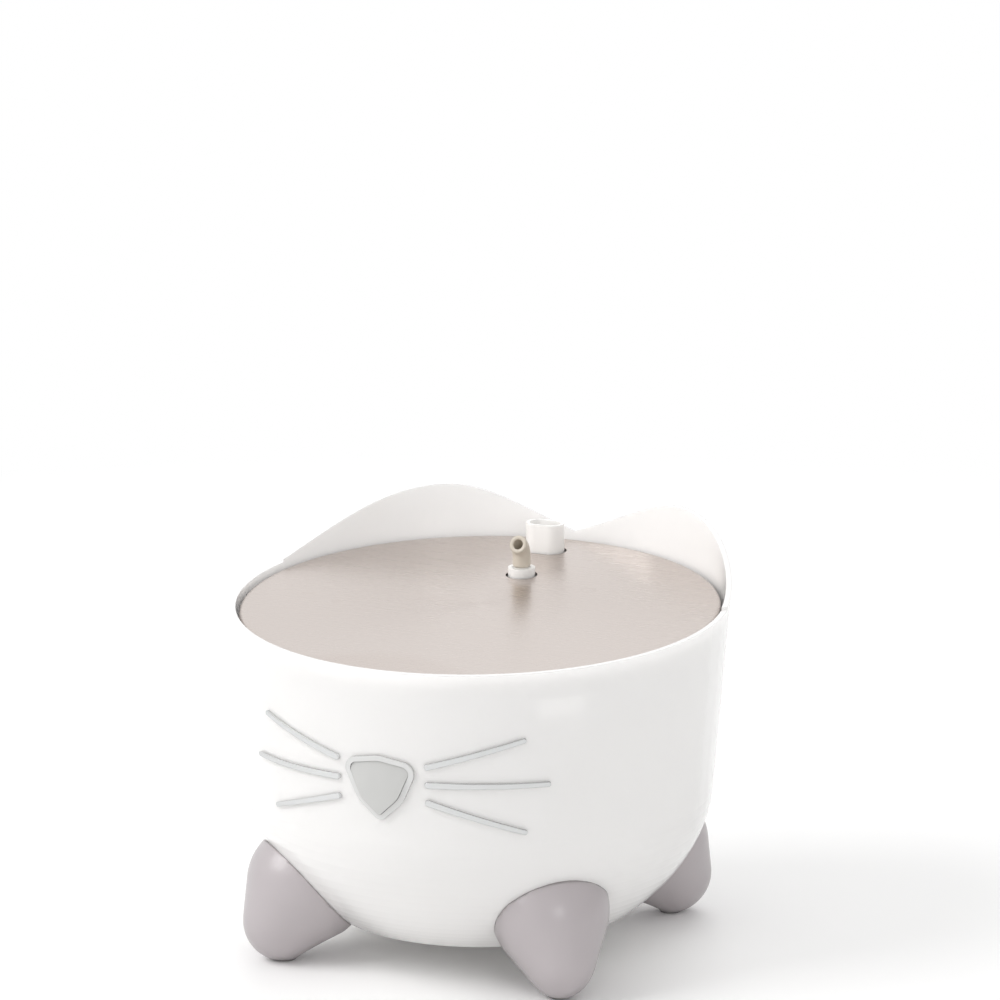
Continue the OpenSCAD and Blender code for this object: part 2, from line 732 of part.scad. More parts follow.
module steel_top() {
    edge = 2;
    hem = edge - sheet_t;
    color("silver") difference() {
        lean(lid_z) difference() {
            difference() {
                rotate_extrude($fn = 144) polygon(concat([[0, -skirt_h], [lid_r, -skirt_h]],
                    arc(lid_r - edge, -edge, edge, 0, 90, 6), [[0, 0]]));
                dip_cut(-dip_h, lid_r);
            }
            difference() {
                rotate_extrude($fn = 144) polygon(concat([[0, -skirt_h - 1], [lid_r - sheet_t, -skirt_h - 1]],
                    arc(lid_r - edge, -edge, hem, 0, 90, 6), [[0, -sheet_t]]));
                dip_cut(-dip_h - sheet_t, lid_r);
            }
            skirt_cut(-skirt_h, lid_r, 3);
        }
        translate([0, outlet_y, lid_z - 10]) cylinder(d = collar_d + 2, h = 30);
        translate([-5, tower_y, lid_z - 10]) linear_extrude(height = 30) slot(tower_w + 2, tower_d + 2);
    }
}

// Side plate of the filter bay under the tray, seen along X
module plate(x) {
    low = -tray_skirt - plate_drop;
    top = -pan_h - tray_t / 2;
    outline = [[plate_y, top], [plate_y, -tray_skirt - 4], [plate_y + 2.4, -tray_skirt - 7],
        [snap_y - 22, low + 2], [snap_y - 16, low + 0.3], [snap_y - 11, low + 0.2], [snap_y - 3, low + 1.6],
        [snap_y + 11, -tray_skirt - 6.4], [snap_y + 23, -tray_skirt - 1], [snap_y + 31, top]];
    lean(tray_z) translate([x - plate_t / 2, 0, 0]) rotate([90, 0, 90])
        linear_extrude(height = plate_t) polygon(outline);
}

module tray() {
    edge = 1.5;
    ramp = 6;
    tower_at = [-5, tower_y, tray_z - pan_h + tower_y * fall - 1];
    color("white") difference() {
        union() {
            lean(tray_z) difference() {
                difference() {
                    rotate_extrude($fn = 144) polygon(concat([[0, -tray_skirt], [tray_r, -tray_skirt]],
                        arc(tray_r - edge, -edge, edge, 0, 90, 5), [[pan_r + ramp, 0], [pan_r, -pan_h], [0, -pan_h]]));
                    dip_cut(-dip_h, tray_r);
                }
                difference() {
                    rotate_extrude($fn = 144) polygon([[0, -tray_skirt - 1], [tray_r - tray_t, -tray_skirt - 1],
                        [tray_r - tray_t, -tray_t], [pan_r + ramp + 0.4, -tray_t], [pan_r + 0.4, -pan_h - tray_t],
                        [0, -pan_h - tray_t]]);
                    dip_cut(-dip_h - tray_t, tray_r);
                }
                skirt_cut(-tray_skirt, tray_r, 3);
            }
            // Collar above, stub below
            translate([0, outlet_y, tray_z + outlet_y * fall - pan_h - 1])
                cylinder(d = collar_d, h = pan_h + 1 + collar_h);
            translate([0, outlet_y, stub_z])
                cylinder(d = stub_d, h = tray_z + outlet_y * fall - pan_h - 1 - stub_z);
            translate(tower_at) linear_extrude(height = pan_h + 1 + tower_h) slot(tower_w, tower_d);
            // Low rib between the collar and the tower
            translate([0, outlet_y, tray_z + outlet_y * fall - pan_h - 1]) rotate([0, 0, atan2(5, tower_y - outlet_y)])
                translate([-4, 0, 0]) cube([8, tower_y - outlet_y, 3.4]);
            // Rear legs that stand on the bay's roof
            for (x = [-1, 1]) translate([x * 34 - leg_w / 2, bay_y + 1, bay_z + seat_gap])
                cube([leg_w, 3.5, tray_z + bay_y * fall - pan_h - tray_t / 2 - bay_z]);
            plate(plate_x + plate_t / 2);
            plate(-plate_x - plate_t / 2);
        }
        translate([0, outlet_y, stem_z - seat_gap]) cylinder(d = spout_d + 0.2, h = 40);
        translate([0, outlet_y, stub_z - 1]) cylinder(d = spout_d - 1.4, h = 60);
        translate([-5, tower_y, tray_z - 20]) linear_extrude(height = 60)
            slot(tower_w - 2 * tray_t, tower_d - 2 * tray_t);
        translate([0, snap_y, snap_z]) rotate([0, 90, 0]) cylinder(d = 3, h = 140, center = true);
    }
}

// ---- Filter box ----------------------------------------------------------------------------
FRONT = [for (a = [-2:2]) [(front_r - corner_r) * sin(a * box_corner()), -(front_r - corner_r)
    * cos(a * box_corner()), corner_r]];
function box_corner() = asin((box_w / 2 - corner_r) / (front_r - corner_r)) / 2;
BOX = concat(FRONT, [[box_w / 2 - 10, rear_y - 10, 10], [-box_w / 2 + 10, rear_y - 10, 10]]);

// Solid of the box, taken in by d: the tub, and the flare that carries the lip
module box_solid(d, z0) {
    top = box_z + box_rear + 6;
    flare_z = lip_top - lip_h;
    low = flare_z - 8 + d;
    half = lip_half - d;
    translate([0, 0, z0]) linear_extrude(height = top - z0) polygon(wrap(BOX, d, 72));
    intersection() {
        rotate_extrude() polygon(concat([[0, low], [front_r - d, low]],
            [for (i = [1:5]) let (t = i / 5) [front_r - d + 7 * t * t, low + (8 - d) * t]],
            [[lip_r - d, top], [0, top]]));
        translate([0, 0, low - 1]) linear_extrude(height = 60) polygon([[-half, -120], [half, -120],
            [half, lip_y + 3.8], [box_w / 2 - d, lip_y + 23.8], [20, lip_y + 41.8], [-20, lip_y + 41.8],
            [-box_w / 2 + d, lip_y + 23.8], [-half, lip_y + 3.8]]);
        translate([0, -40, 0]) rotate([90, 0, 0]) linear_extrude(height = 100) polygon([[-half, top],
            [half, top], [half, flare_z + d], [half - 8, low - 2], [-half + 8, low - 2], [-half, flare_z + d]]);
    }
}

// Height of the box's side walls over their length: a low lip, a small dip, a long rise
function side_top(y) = y < lip_y + 6.8 ? lip_top : lip_top - 1.4 * soft((y - lip_y - 6.8) / 5)
    + (box_z + box_rear - lip_top + 1.4) * soft((y - lip_y - 11.8) / (rear_y - 9 - lip_y - 11.8));

module box_sides() {
    steps = 22;
    rotate([90, 0, 90]) translate([0, 0, -60]) linear_extrude(height = 120)
        polygon(concat([[-110, box_z - 5], [-110, lip_top]],
            [for (i = [0:steps]) let (y = lip_y + 5.8 + (rear_y - 12.8 - lip_y) * i / steps) [y, side_top(y)]],
            [[5, box_z + box_rear], [5, box_z - 5]]));
}

module filter_box() {
    rows = 4;
    wide = 9;
    thin = 3.6;
    deep = 10;
    rear_top = box_z + box_rear;
    color("white") difference() {
        union() {
            intersection() {
                difference() {
                    box_solid(0, box_z);
                    box_solid(box_t, box_z + box_t);
                }
                box_sides();
            }
            // Spring latch, a little taller than the wall it is cut from
            translate([latch_x, rear_y, 0]) rotate([90, 0, 0]) linear_extrude(height = box_t) {
                translate([-latch_w / 2, rear_top - deep - 4]) square([latch_w, deep + 1.2]);
                translate([0, rear_top - 2.8]) slot(latch_w, 8);
            }
            // Ribs in the corners and the bosses that snap into the tray's plates
            for (x = [-1, 1]) {
                translate([x * (box_w / 2 - box_t) - 0.7, -44, box_z + 0.5]) cube([1.4, 1.6, box_front - 4]);
                translate([x * (box_w / 2 - 0.5), snap_y, snap_z]) rotate([0, x * 90, 0])
                    cylinder(d = 2.6, h = plate_x - box_w / 2 + 0.5 - seat_gap);
                translate([x * (lip_half - 0.9), lip_y + 0.5, lip_top - 1])
                    cylinder(d = 1.6, h = 2.6);
            }
        }
        translate([latch_x - latch_w / 2 - wide, rear_y - 4, rear_top - deep]) cube([wide, 6, deep + 5]);
        translate([latch_x + latch_w / 2, rear_y - 4, rear_top - deep - 1]) cube([thin, 6, deep + 5]);
        // Slots that let the water through the floor
        for (r = [0:rows - 1], i = [-5:5])
            if (abs(i) * slot_pitch < box_w / 2 - 6 && norm([i * slot_pitch, rear_y - 19.5 - r * 18]) < front_r - 3)
                translate([i * slot_pitch, rear_y - 13 - r * 18, box_z - 1]) rotate([0, 0, 90])
                    linear_extrude(height = box_t + 2) slot(13, 2.4);
    }
}

// ---- Cartridge -----------------------------------------------------------------------------
module flange_plan() {
    chamfer = 10;
    w = flange_w / 2;
    d = flange_d / 2;
    polygon([[-w, chamfer - d], [chamfer - w, -d], [w - chamfer, -d], [w, chamfer - d], [w, d - chamfer],
        [w - chamfer, d], [chamfer - w, d], [-w, d - chamfer]]);
}

module pocket_plan(d) {
    rrect(pocket_w - 2 * d, pocket_d - 2 * d, 7);
}

module filter_frame() {
    color("linen") translate([0, cart_y, flange_z]) difference() {
        union() {
            linear_extrude(height = flange_t) flange_plan();
            translate([0, 0, -pocket_h + 4]) cylinder(d = middle_d + 2, h = pocket_h - 3);
        }
        for (x = [-1, 1], y = [-1, 1]) translate([x * pocket_x, y * pocket_y, -pocket_h])
            linear_extrude(height = pocket_h + 3) pocket_plan(-0.1);
        translate([0, 0, -pocket_h]) cylinder(d = middle_d, h = pocket_h + 3);
    }
}

module pocket_pair(side) {
    translate([side * pocket_x, cart_y, flange_z]) for (y = [-1, 1]) translate([0, y * pocket_y, 0]) difference() {
        union() {
            translate([0, 0, -pocket_h]) linear_extrude(height = pocket_h - 4) pocket_plan(1.6);
            translate([0, 0, -pocket_h + 3]) linear_extrude(height = pocket_h - 3) pocket_plan(0.6);
            translate([0, 0, -2]) linear_extrude(height = flange_t + 2.6) pocket_plan(0);
        }
        translate([-side * pocket_x, -y * pocket_y, -pocket_h - 1]) cylinder(d = middle_d + 2.4, h = pocket_h + 8);
    }
}

module carbon_pockets() { color("tan") pocket_pair(-1); }
module resin_pockets() { color("wheat") pocket_pair(1); }

// ---- Spout ---------------------------------------------------------------------------------
neck_d = spout_d - 1.4;
elbow_z = stem_z + stem_h + 0.8;
module spout_stem() {
    color("whitesmoke") translate([0, outlet_y, stem_z]) difference() {
        union() {
            cylinder(d = spout_d, h = stem_h);
            cylinder(d = neck_d, h = stem_h + 4);
        }
        translate([0, 0, -1]) cylinder(d = spout_bore, h = stem_h + 8);
    }
}

module spout_elbow() {
    rise = 4.4;
    socket = 3.6;
    color("tan") translate([0, outlet_y, elbow_z]) union() {
        translate([0, -elbow_r, rise]) rotate([90, 0, 90]) rotate_extrude(angle = elbow_bend)
            translate([elbow_r, 0]) difference() {
                circle(d = spout_d, $fn = 48);
                circle(d = spout_bore, $fn = 48);
            }
        difference() {
            cylinder(d = spout_d, h = rise);
            translate([0, 0, -1]) cylinder(d = spout_bore, h = rise + 4);
            translate([0, 0, -1]) cylinder(d = neck_d + 2 * run_gap, h = socket + 1);
        }
    }
}

// ---- Cord ----------------------------------------------------------------------------------
SIDES = 10;
// Point at t along a smooth curve through the route
function bend(p, i, t) = let (a = p[max(i - 1, 0)], b = p[i], c = p[min(i + 1, len(p) - 1)],
    d = p[min(i + 2, len(p) - 1)]) 0.5 * (2 * b + (c - a) * t + (2 * a - 5 * b + 4 * c - d) * t * t
    + (3 * b - a - 3 * c + d) * t * t * t);
function smooth(p, n) = concat([for (i = [0:len(p) - 2], k = [0:n - 1]) bend(p, i, k / n)], [p[len(p) - 1]]);
function unit(v) = v / norm(v);
function heading(p, i) = unit(p[min(i + 1, len(p) - 1)] - p[max(i - 1, 0)]);
// A frame carried from ring to ring, so that the tube never twists
function carried(p, i) = i == 0 ? unit(cross(heading(p, 0), [0.1, 0.2, 1]))
    : let (q = carried(p, i - 1), h = heading(p, i)) unit(q - (q * h) * h);
module tube(route, n, d) {
    p = smooth(route, n);
    rings = len(p);
    pts = [for (i = [0:rings - 1]) let (h = heading(p, i), q = carried(p, i), s = cross(h, q))
        for (k = [0:SIDES - 1]) p[i] + d / 2 * (cos(360 * k / SIDES) * q + sin(360 * k / SIDES) * s)];
    faces = concat([[for (k = [0:SIDES - 1]) k]],
        [for (i = [0:rings - 2], k = [0:SIDES - 1]) [i * SIDES + k, (i + 1) * SIDES + k,
            (i + 1) * SIDES + (k + 1) % SIDES, i * SIDES + (k + 1) % SIDES]],
        [[for (k = [SIDES - 1:-1:0]) (rings - 1) * SIDES + k]]);
    polyhedron(points = pts, faces = faces, convexity = 8);
}

module power_cord() { color("gray") tube(ROUTE, 3, cord_d); }

module cord_coil() {
    color("gray") translate([coil_at[0], coil_at[1], coil_z + coil_w / 2]) rotate_extrude()
        translate([coil_r, 0]) rrect(coil_w, coil_w, cord_d / 2);
}

module cord_tie() {
    w = coil_w + 0.4;
    color("dimgray") translate([coil_at[0], coil_at[1] + coil_r, coil_z + coil_w / 2]) rotate([90, 0, 90])
        translate([0, 0, -3]) linear_extrude(height = 6) difference() {
            rrect(w + 2 * tie_t, w + 2 * tie_t, 3);
            rrect(w, w, 2);
        }
}

module plug_lead() { color("gray") tube(LEAD, 2, cord_d); }

// The plug lies on the floor at the end of the lead
plug_aim = atan2(LEAD[4][1] - LEAD[3][1], LEAD[4][0] - LEAD[3][0]);
module at_plug() {
    translate(LEAD[4]) rotate([0, 0, plug_aim]) children();
}

module plug_grip() {
    color("lightgray") at_plug() translate([plug_l / 2 + 0.1, 0, -4.1]) difference() {
        linear_extrude(height = 8.2) rrect(plug_l, plug_w, 3);
        for (s = [-1, 1], i = [0:4]) translate([i * 2.6 - 7, s * plug_w / 2, -1]) cylinder(d = 1.4, h = 12);
        translate([plug_l / 2 - 3, -6.1, 1.8]) cube([4, 12.2, 4.6]);
    }
}

module plug_shell() {
    color("silver") at_plug() translate([plug_l - 2.8, -6, -2.2]) difference() {
        cube([15, 12, 4.4]);
        translate([2, 0.4, 0.4]) cube([14, 11.2, 3.6]);
        for (y = [3, 7]) translate([8, y, -1]) cube([2.4, 2, 8]);
    }
}

bowl_shell();
foot_front_left();
foot_front_right();
foot_rear_left();
foot_rear_right();
foot_pads();
nose_lens();
nose_bezel();
nose_gasket();
whisker_left_upper();
whisker_left_middle();
whisker_left_lower();
whisker_right_upper();
whisker_right_middle();
whisker_right_lower();
cord_grommet();
pump_housing();
lamp_lens();
sensor_window();
suction_cups();
cord_gland();
impeller_shaft();
shaft_bush();
intake_cover();
cover_bush();
impeller();
rotor_magnet();
flow_knob();
riser_tube();
tray();
filter_box();
filter_frame();
carbon_pockets();
resin_pockets();
steel_top();
spout_stem();
spout_elbow();
power_cord();
cord_coil();
cord_tie();
plug_lead();
plug_grip();
plug_shell();
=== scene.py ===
"""Looks of a pet water fountain with a cat's face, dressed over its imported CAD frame.

The bowl, the face, the pump, the riser tube, the tray, the filter box and the spout's stem keep their CAD
shapes and get their finishes here. The supply cord with its sleeve, the filter pouches, the steel top, the
spout's elbow and the paws are new surfaces. All is in metres in the frame of the CAD, front toward -Y.
"""

import json
import logging
import math
from dataclasses import dataclass, field
from enum import Enum

import bmesh
import bpy
import numpy as np
from mathutils import Matrix, Vector
from mathutils.geometry import delaunay_2d_cdt

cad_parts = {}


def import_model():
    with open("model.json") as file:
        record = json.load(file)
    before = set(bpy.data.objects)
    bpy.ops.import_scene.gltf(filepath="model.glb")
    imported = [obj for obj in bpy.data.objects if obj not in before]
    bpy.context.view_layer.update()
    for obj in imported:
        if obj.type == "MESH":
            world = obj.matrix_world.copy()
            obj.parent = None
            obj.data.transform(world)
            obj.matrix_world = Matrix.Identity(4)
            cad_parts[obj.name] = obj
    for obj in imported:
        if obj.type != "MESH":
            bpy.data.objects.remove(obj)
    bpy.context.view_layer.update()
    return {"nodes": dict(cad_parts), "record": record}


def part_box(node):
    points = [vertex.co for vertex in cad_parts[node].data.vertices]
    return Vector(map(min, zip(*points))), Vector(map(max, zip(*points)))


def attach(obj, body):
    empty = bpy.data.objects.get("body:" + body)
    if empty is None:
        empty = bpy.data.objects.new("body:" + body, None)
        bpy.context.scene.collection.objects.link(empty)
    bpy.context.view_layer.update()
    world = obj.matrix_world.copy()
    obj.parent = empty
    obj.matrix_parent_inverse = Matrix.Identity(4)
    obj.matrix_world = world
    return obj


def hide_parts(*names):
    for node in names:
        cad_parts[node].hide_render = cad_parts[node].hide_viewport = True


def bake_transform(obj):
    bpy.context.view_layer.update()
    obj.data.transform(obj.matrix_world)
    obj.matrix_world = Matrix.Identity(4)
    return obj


LOG = logging.getLogger("pet_fountain")
MM = 0.001
Colour = tuple[float, float, float]
Place = tuple[float, float, float]
Cells = list[list[int]]
Values = dict[str | int, object]
Nodes = dict[str, bpy.types.Object]
Socket = bpy.types.NodeSocket


def linear(red: float, green: float, blue: float) -> Colour:
    """Turns a colour as seen on a screen into the linear values that shaders take.

    Args:
        red: Red from 0 to 255.
        green: Green from 0 to 255.
        blue: Blue from 0 to 255.

    Returns:
        The three linear values. Each is ((c + 0.055) / 1.055) to the power 2.4 above a small threshold.
    """
    c = np.array([red, green, blue], float) / 255.0
    out = np.where(c <= 0.04045, c / 12.92, ((c + 0.055) / 1.055) ** 2.4)
    return float(out[0]), float(out[1]), float(out[2])


# ---- Surfaces -----------------------------------------------------------------------------------


class Surface:
    """Surfaces worked out as whole arrays, and the meshes made of them."""

    @staticmethod
    def soft(t: np.ndarray) -> np.ndarray:
        """A soft step: 3 t squared less 2 t cubed, with t held from 0 to 1."""
        c = np.clip(t, 0.0, 1.0)
        return c * c * (3.0 - 2.0 * c)

    @staticmethod
    def smooth_path(points: np.ndarray, steps: int) -> np.ndarray:
        """Draws one smooth curve through all the points.

        Between two points the place is the Catmull-Rom cubic of them and their neighbours: half of
        (2b + (c - a) t + (2a - 5b + 4c - d) t squared + (3b - a - 3c + d) t cubed).

        Args:
            points: The points in order, one a row.
            steps: How many steps each span is cut into.

        Returns:
            The points of the curve, one a row.
        """
        q = np.vstack([points[:1], points, points[-1:]])
        a, b, c, d = (v[:, None, :] for v in (q[:-3], q[1:-2], q[2:-1], q[3:]))
        t = (np.arange(steps) / steps)[None, :, None]
        bent = (2 * a - 5 * b + 4 * c - d) * t**2 + (3 * b - a - 3 * c + d) * t**3
        out = 0.5 * (2 * b + (c - a) * t + bent)
        return np.vstack([out.reshape(-1, 3), points[-1:]])

    @staticmethod
    def even_path(points: np.ndarray, step: float) -> np.ndarray:
        """Lays points at even distances along a path: each coordinate is read off at equal arc lengths.

        Args:
            points: The path's points, one a row.
            step: The distance between two points, in metres.

        Returns:
            The evenly spaced points, one a row.
        """
        run = np.r_[0.0, np.cumsum(np.linalg.norm(np.diff(points, axis=0), axis=1))]
        at = np.linspace(0.0, run[-1], max(2, int(run[-1] / step) + 1))
        return np.column_stack([np.interp(at, run, points[:, k]) for k in range(3)])

    @staticmethod
    def carried_frames(path: np.ndarray) -> tuple[np.ndarray, np.ndarray, np.ndarray]:
        """Carries a cross frame along a path, so that a tube on it never twists.

        Each frame is the one before, less its part along the new heading, and made unit length again.

        Args:
            path: The path's points, one a row.

        Returns:
            The headings, the first cross directions and the second cross directions, one a row.
        """
        heading = np.gradient(path, axis=0)
        heading /= np.linalg.norm(heading, axis=1)[:, None]
        first = np.empty_like(path)
        seed = np.cross(heading[0], (0.1, 0.2, 1.0))
        first[0] = seed / np.linalg.norm(seed)
        for i in range(1, len(path)):
            carried = first[i - 1] - heading[i] * (first[i - 1] @ heading[i])
            first[i] = carried / np.linalg.norm(carried)
        return heading, first, np.cross(heading, first)

    @staticmethod
    def sweep(path: np.ndarray, radii: np.ndarray, sides: int) -> np.ndarray:
        """Carries a circle along a path: place = path + radius (cos a first + sin a second).

        Args:
            path: The path's points, one a row.
            radii: The circle's radius at each point.
            sides: How many points each ring has.

        Returns:
            The rings as an array of rings by sides by 3.
        """
        _, first, second = Surface.carried_frames(path)
        a = np.linspace(0.0, 2.0 * math.pi, sides, endpoint=False)[None, :, None]
        ring = np.cos(a) * first[:, None, :] + np.sin(a) * second[:, None, :]
        return path[:, None, :] + radii[:, None, None] * ring

    @staticmethod
    def faces(rows: int, sides: int, closed_rows: bool = False, offset: int = 0) -> np.ndarray:
        """Numbers the four corners of every cell of a grid that closes round its sides.

        Args:
            rows: How many rings the grid has.
            sides: How many points a ring has.
            closed_rows: Whether the last ring joins the first.
            offset: The number of the grid's first point.

        Returns:
            The cells, four corner numbers a row.
        """
        i = np.arange(rows if closed_rows else rows - 1)[:, None]
        k = np.arange(sides)[None, :]
        j, m = (i + 1) % rows, (k + 1) % sides
        cells = np.stack([i * sides + k, i * sides + m, j * sides + m, j * sides + k], axis=-1)
        return cells.reshape(-1, 4) + offset

    @staticmethod
    def mesh(name: str, points: np.ndarray, quads: np.ndarray, caps: Cells | None = None) -> bpy.types.Object:
        """Makes an object at the origin from points and faces, with smooth shading.

        Args:
            name: The object's name.
            points: The points in metres, one a row.
            quads: The four-cornered faces.
            caps: Faces with any number of corners that close the ends.

        Returns:
            The object, linked into the scene.
        """
        mesh = bpy.data.meshes.new(name)
        mesh.from_pydata(points.reshape(-1, 3).tolist(), [], quads.tolist() + (caps or []))
        mesh.validate()
        mesh.shade_smooth()
        mesh.update()
        piece = bpy.data.objects.new(name, mesh)
        bpy.context.scene.collection.objects.link(piece)
        return piece

    @staticmethod
    def tidy(piece: bpy.types.Object, angle: float) -> None:
        """Turns a closed piece's faces outward and keeps its edges over an angle sharp.

        Args:
            piece: The piece.
            angle: The angle in degrees.
        """
        work = bmesh.new()
        work.from_mesh(piece.data)
        bmesh.ops.recalc_face_normals(work, faces=work.faces)
        work.to_mesh(piece.data)
        work.free()
        piece.data.set_sharp_from_angle(angle=math.radians(angle))

    @staticmethod
    def tube(name: str, path: np.ndarray, radii: np.ndarray, sides: int) -> bpy.types.Object:
        """Makes a closed tube along a path, with a flat cap at each end.

        Args:
            name: The object's name.
            path: The path's points, one a row.
            radii: The radius at each point.
            sides: How many sides the tube has.

        Returns:
            The object.
        """
        rings = Surface.sweep(path, radii, sides)
        last = (len(path) - 1) * sides
        caps = [list(range(sides - 1, -1, -1)), list(range(last, last + sides))]
        return Surface.mesh(name, rings, Surface.faces(len(path), sides), caps)


# ---- Finishes -----------------------------------------------------------------------------------


class Family(Enum):
    """How a finish is built."""

    MOULDED = "moulded plastic"
    CLEAR = "clear plastic"
    STEEL = "brushed steel"
    FELT = "pressed filter felt"
    GLOW = "lamp"


@dataclass(frozen=True)
class Finish:
    """A surface's finish: the constants that its shader takes and the strength of its detail."""

    name: str
    colour: Colour
    family: Family = Family.MOULDED
    shade: float = 0.94
    roughness: float = 0.35
    spread: float = 0.08
    coat: float = 0.0
    coat_roughness: float = 0.08
    sheen: float = 0.0
    glow: float = 0.0
    transmission: float = 0.0
    ior: float = 1.49
    subsurface: float = 0.0
    depth: float = 0.004
    rim: float = 0.0  # painted shade: how far surfaces seen edge-on are darkened in their colour, a dark outline painted at their edges
    grain: float = 2500.0
    grain_depth: float = 0.05
    wave: float = 0.02
    edge: float = 0.0004
    # painted reflection: the darker colour that upright sheet of steel is mixed toward
    painted_side_reflection_colour: Colour = (0.2, 0.16, 0.145)

    def scaled(self, factor: float) -> Colour:
        """The finish's colour times a factor."""
        red, green, blue = self.colour
        return red * factor, green * factor, blue * factor


class Board:
    """A node tree being laid out: it adds nodes and joins their sockets."""

    def __init__(self, tree: bpy.types.NodeTree) -> None:
        """Starts on an empty tree.

        Args:
            tree: The tree, which loses the nodes that it has.
        """
        self.tree = tree
        self.tree.nodes.clear()
        self.count = 0

    def add(self, kind: str, values: Values | None = None, **settings: object) -> bpy.types.Node:
        """Adds a node.

        Args:
            kind: Blender's name of the node's type.
            values: What each input gets, by its name or number: a constant, or the socket that feeds it.
            settings: The node's own options.

        Returns:
            The node.
        """
        node = self.tree.nodes.new(kind)
        node.location = (220 * (self.count % 8) - 900, 300 - 240 * (self.count // 8))
        self.count += 1
        for key, value in settings.items():
            setattr(node, key, value)
        for key, value in (values or {}).items():
            if isinstance(value, Socket):
                self.tree.links.new(value, node.inputs[key])
            else:
                node.inputs[key].default_value = value
        return node

    def noise(self, vector: Socket, scale: float, detail: float = 3.0, rough: float = 0.5) -> Socket:
        """Adds a noise pattern and returns its value socket.

        Args:
            vector: Where the pattern is read.
            scale: How many features fit in a metre.
            detail: How many finer layers it has.
            rough: How strong the finer layers are.

        Returns:
            The noise's value.
        """
        values = {"Vector": vector, "Scale": scale, "Detail": detail, "Roughness": rough}
        return self.add("ShaderNodeTexNoise", values).outputs[0]

    def math(self, operation: str, first: object, second: object = 0.0, third: object = 0.0) -> Socket:
        """Adds a sum of two or three numbers and returns its result.

        Args:
            operation: Blender's name of the operation.
            first: The first number or socket.
            second: The second number or socket.
            third: The third number or socket, where the operation has one.

        Returns:
            The result.
        """
        node = self.add("ShaderNodeMath", {0: first, 1: second}, operation=operation)
        if isinstance(third, Socket):
            self.tree.links.new(third, node.inputs[2])
        else:
            node.inputs[2].default_value = third
        return node.outputs[0]

    def stretch(self, vector: Socket, scale: Place) -> Socket:
        """Stretches a pattern's coordinates by a factor on each axis and returns them."""
        return self.add("ShaderNodeMapping", {"Vector": vector, "Scale": scale}).outputs[0]

    def mix(self, share: Socket, low: Colour | Socket, high: Colour) -> Socket:
        """Mixes two colours.

        Args:
            share: The share of the second colour.
            low: The first colour, a constant or a socket.
            high: The second colour.

        Returns:
            The mixed colour.
        """
        first = low if isinstance(low, Socket) else (*low, 1.0)
        values = {0: share, 6: first, 7: (*high, 1.0)}
        return self.add("ShaderNodeMix", values, data_type="RGBA").outputs[2]


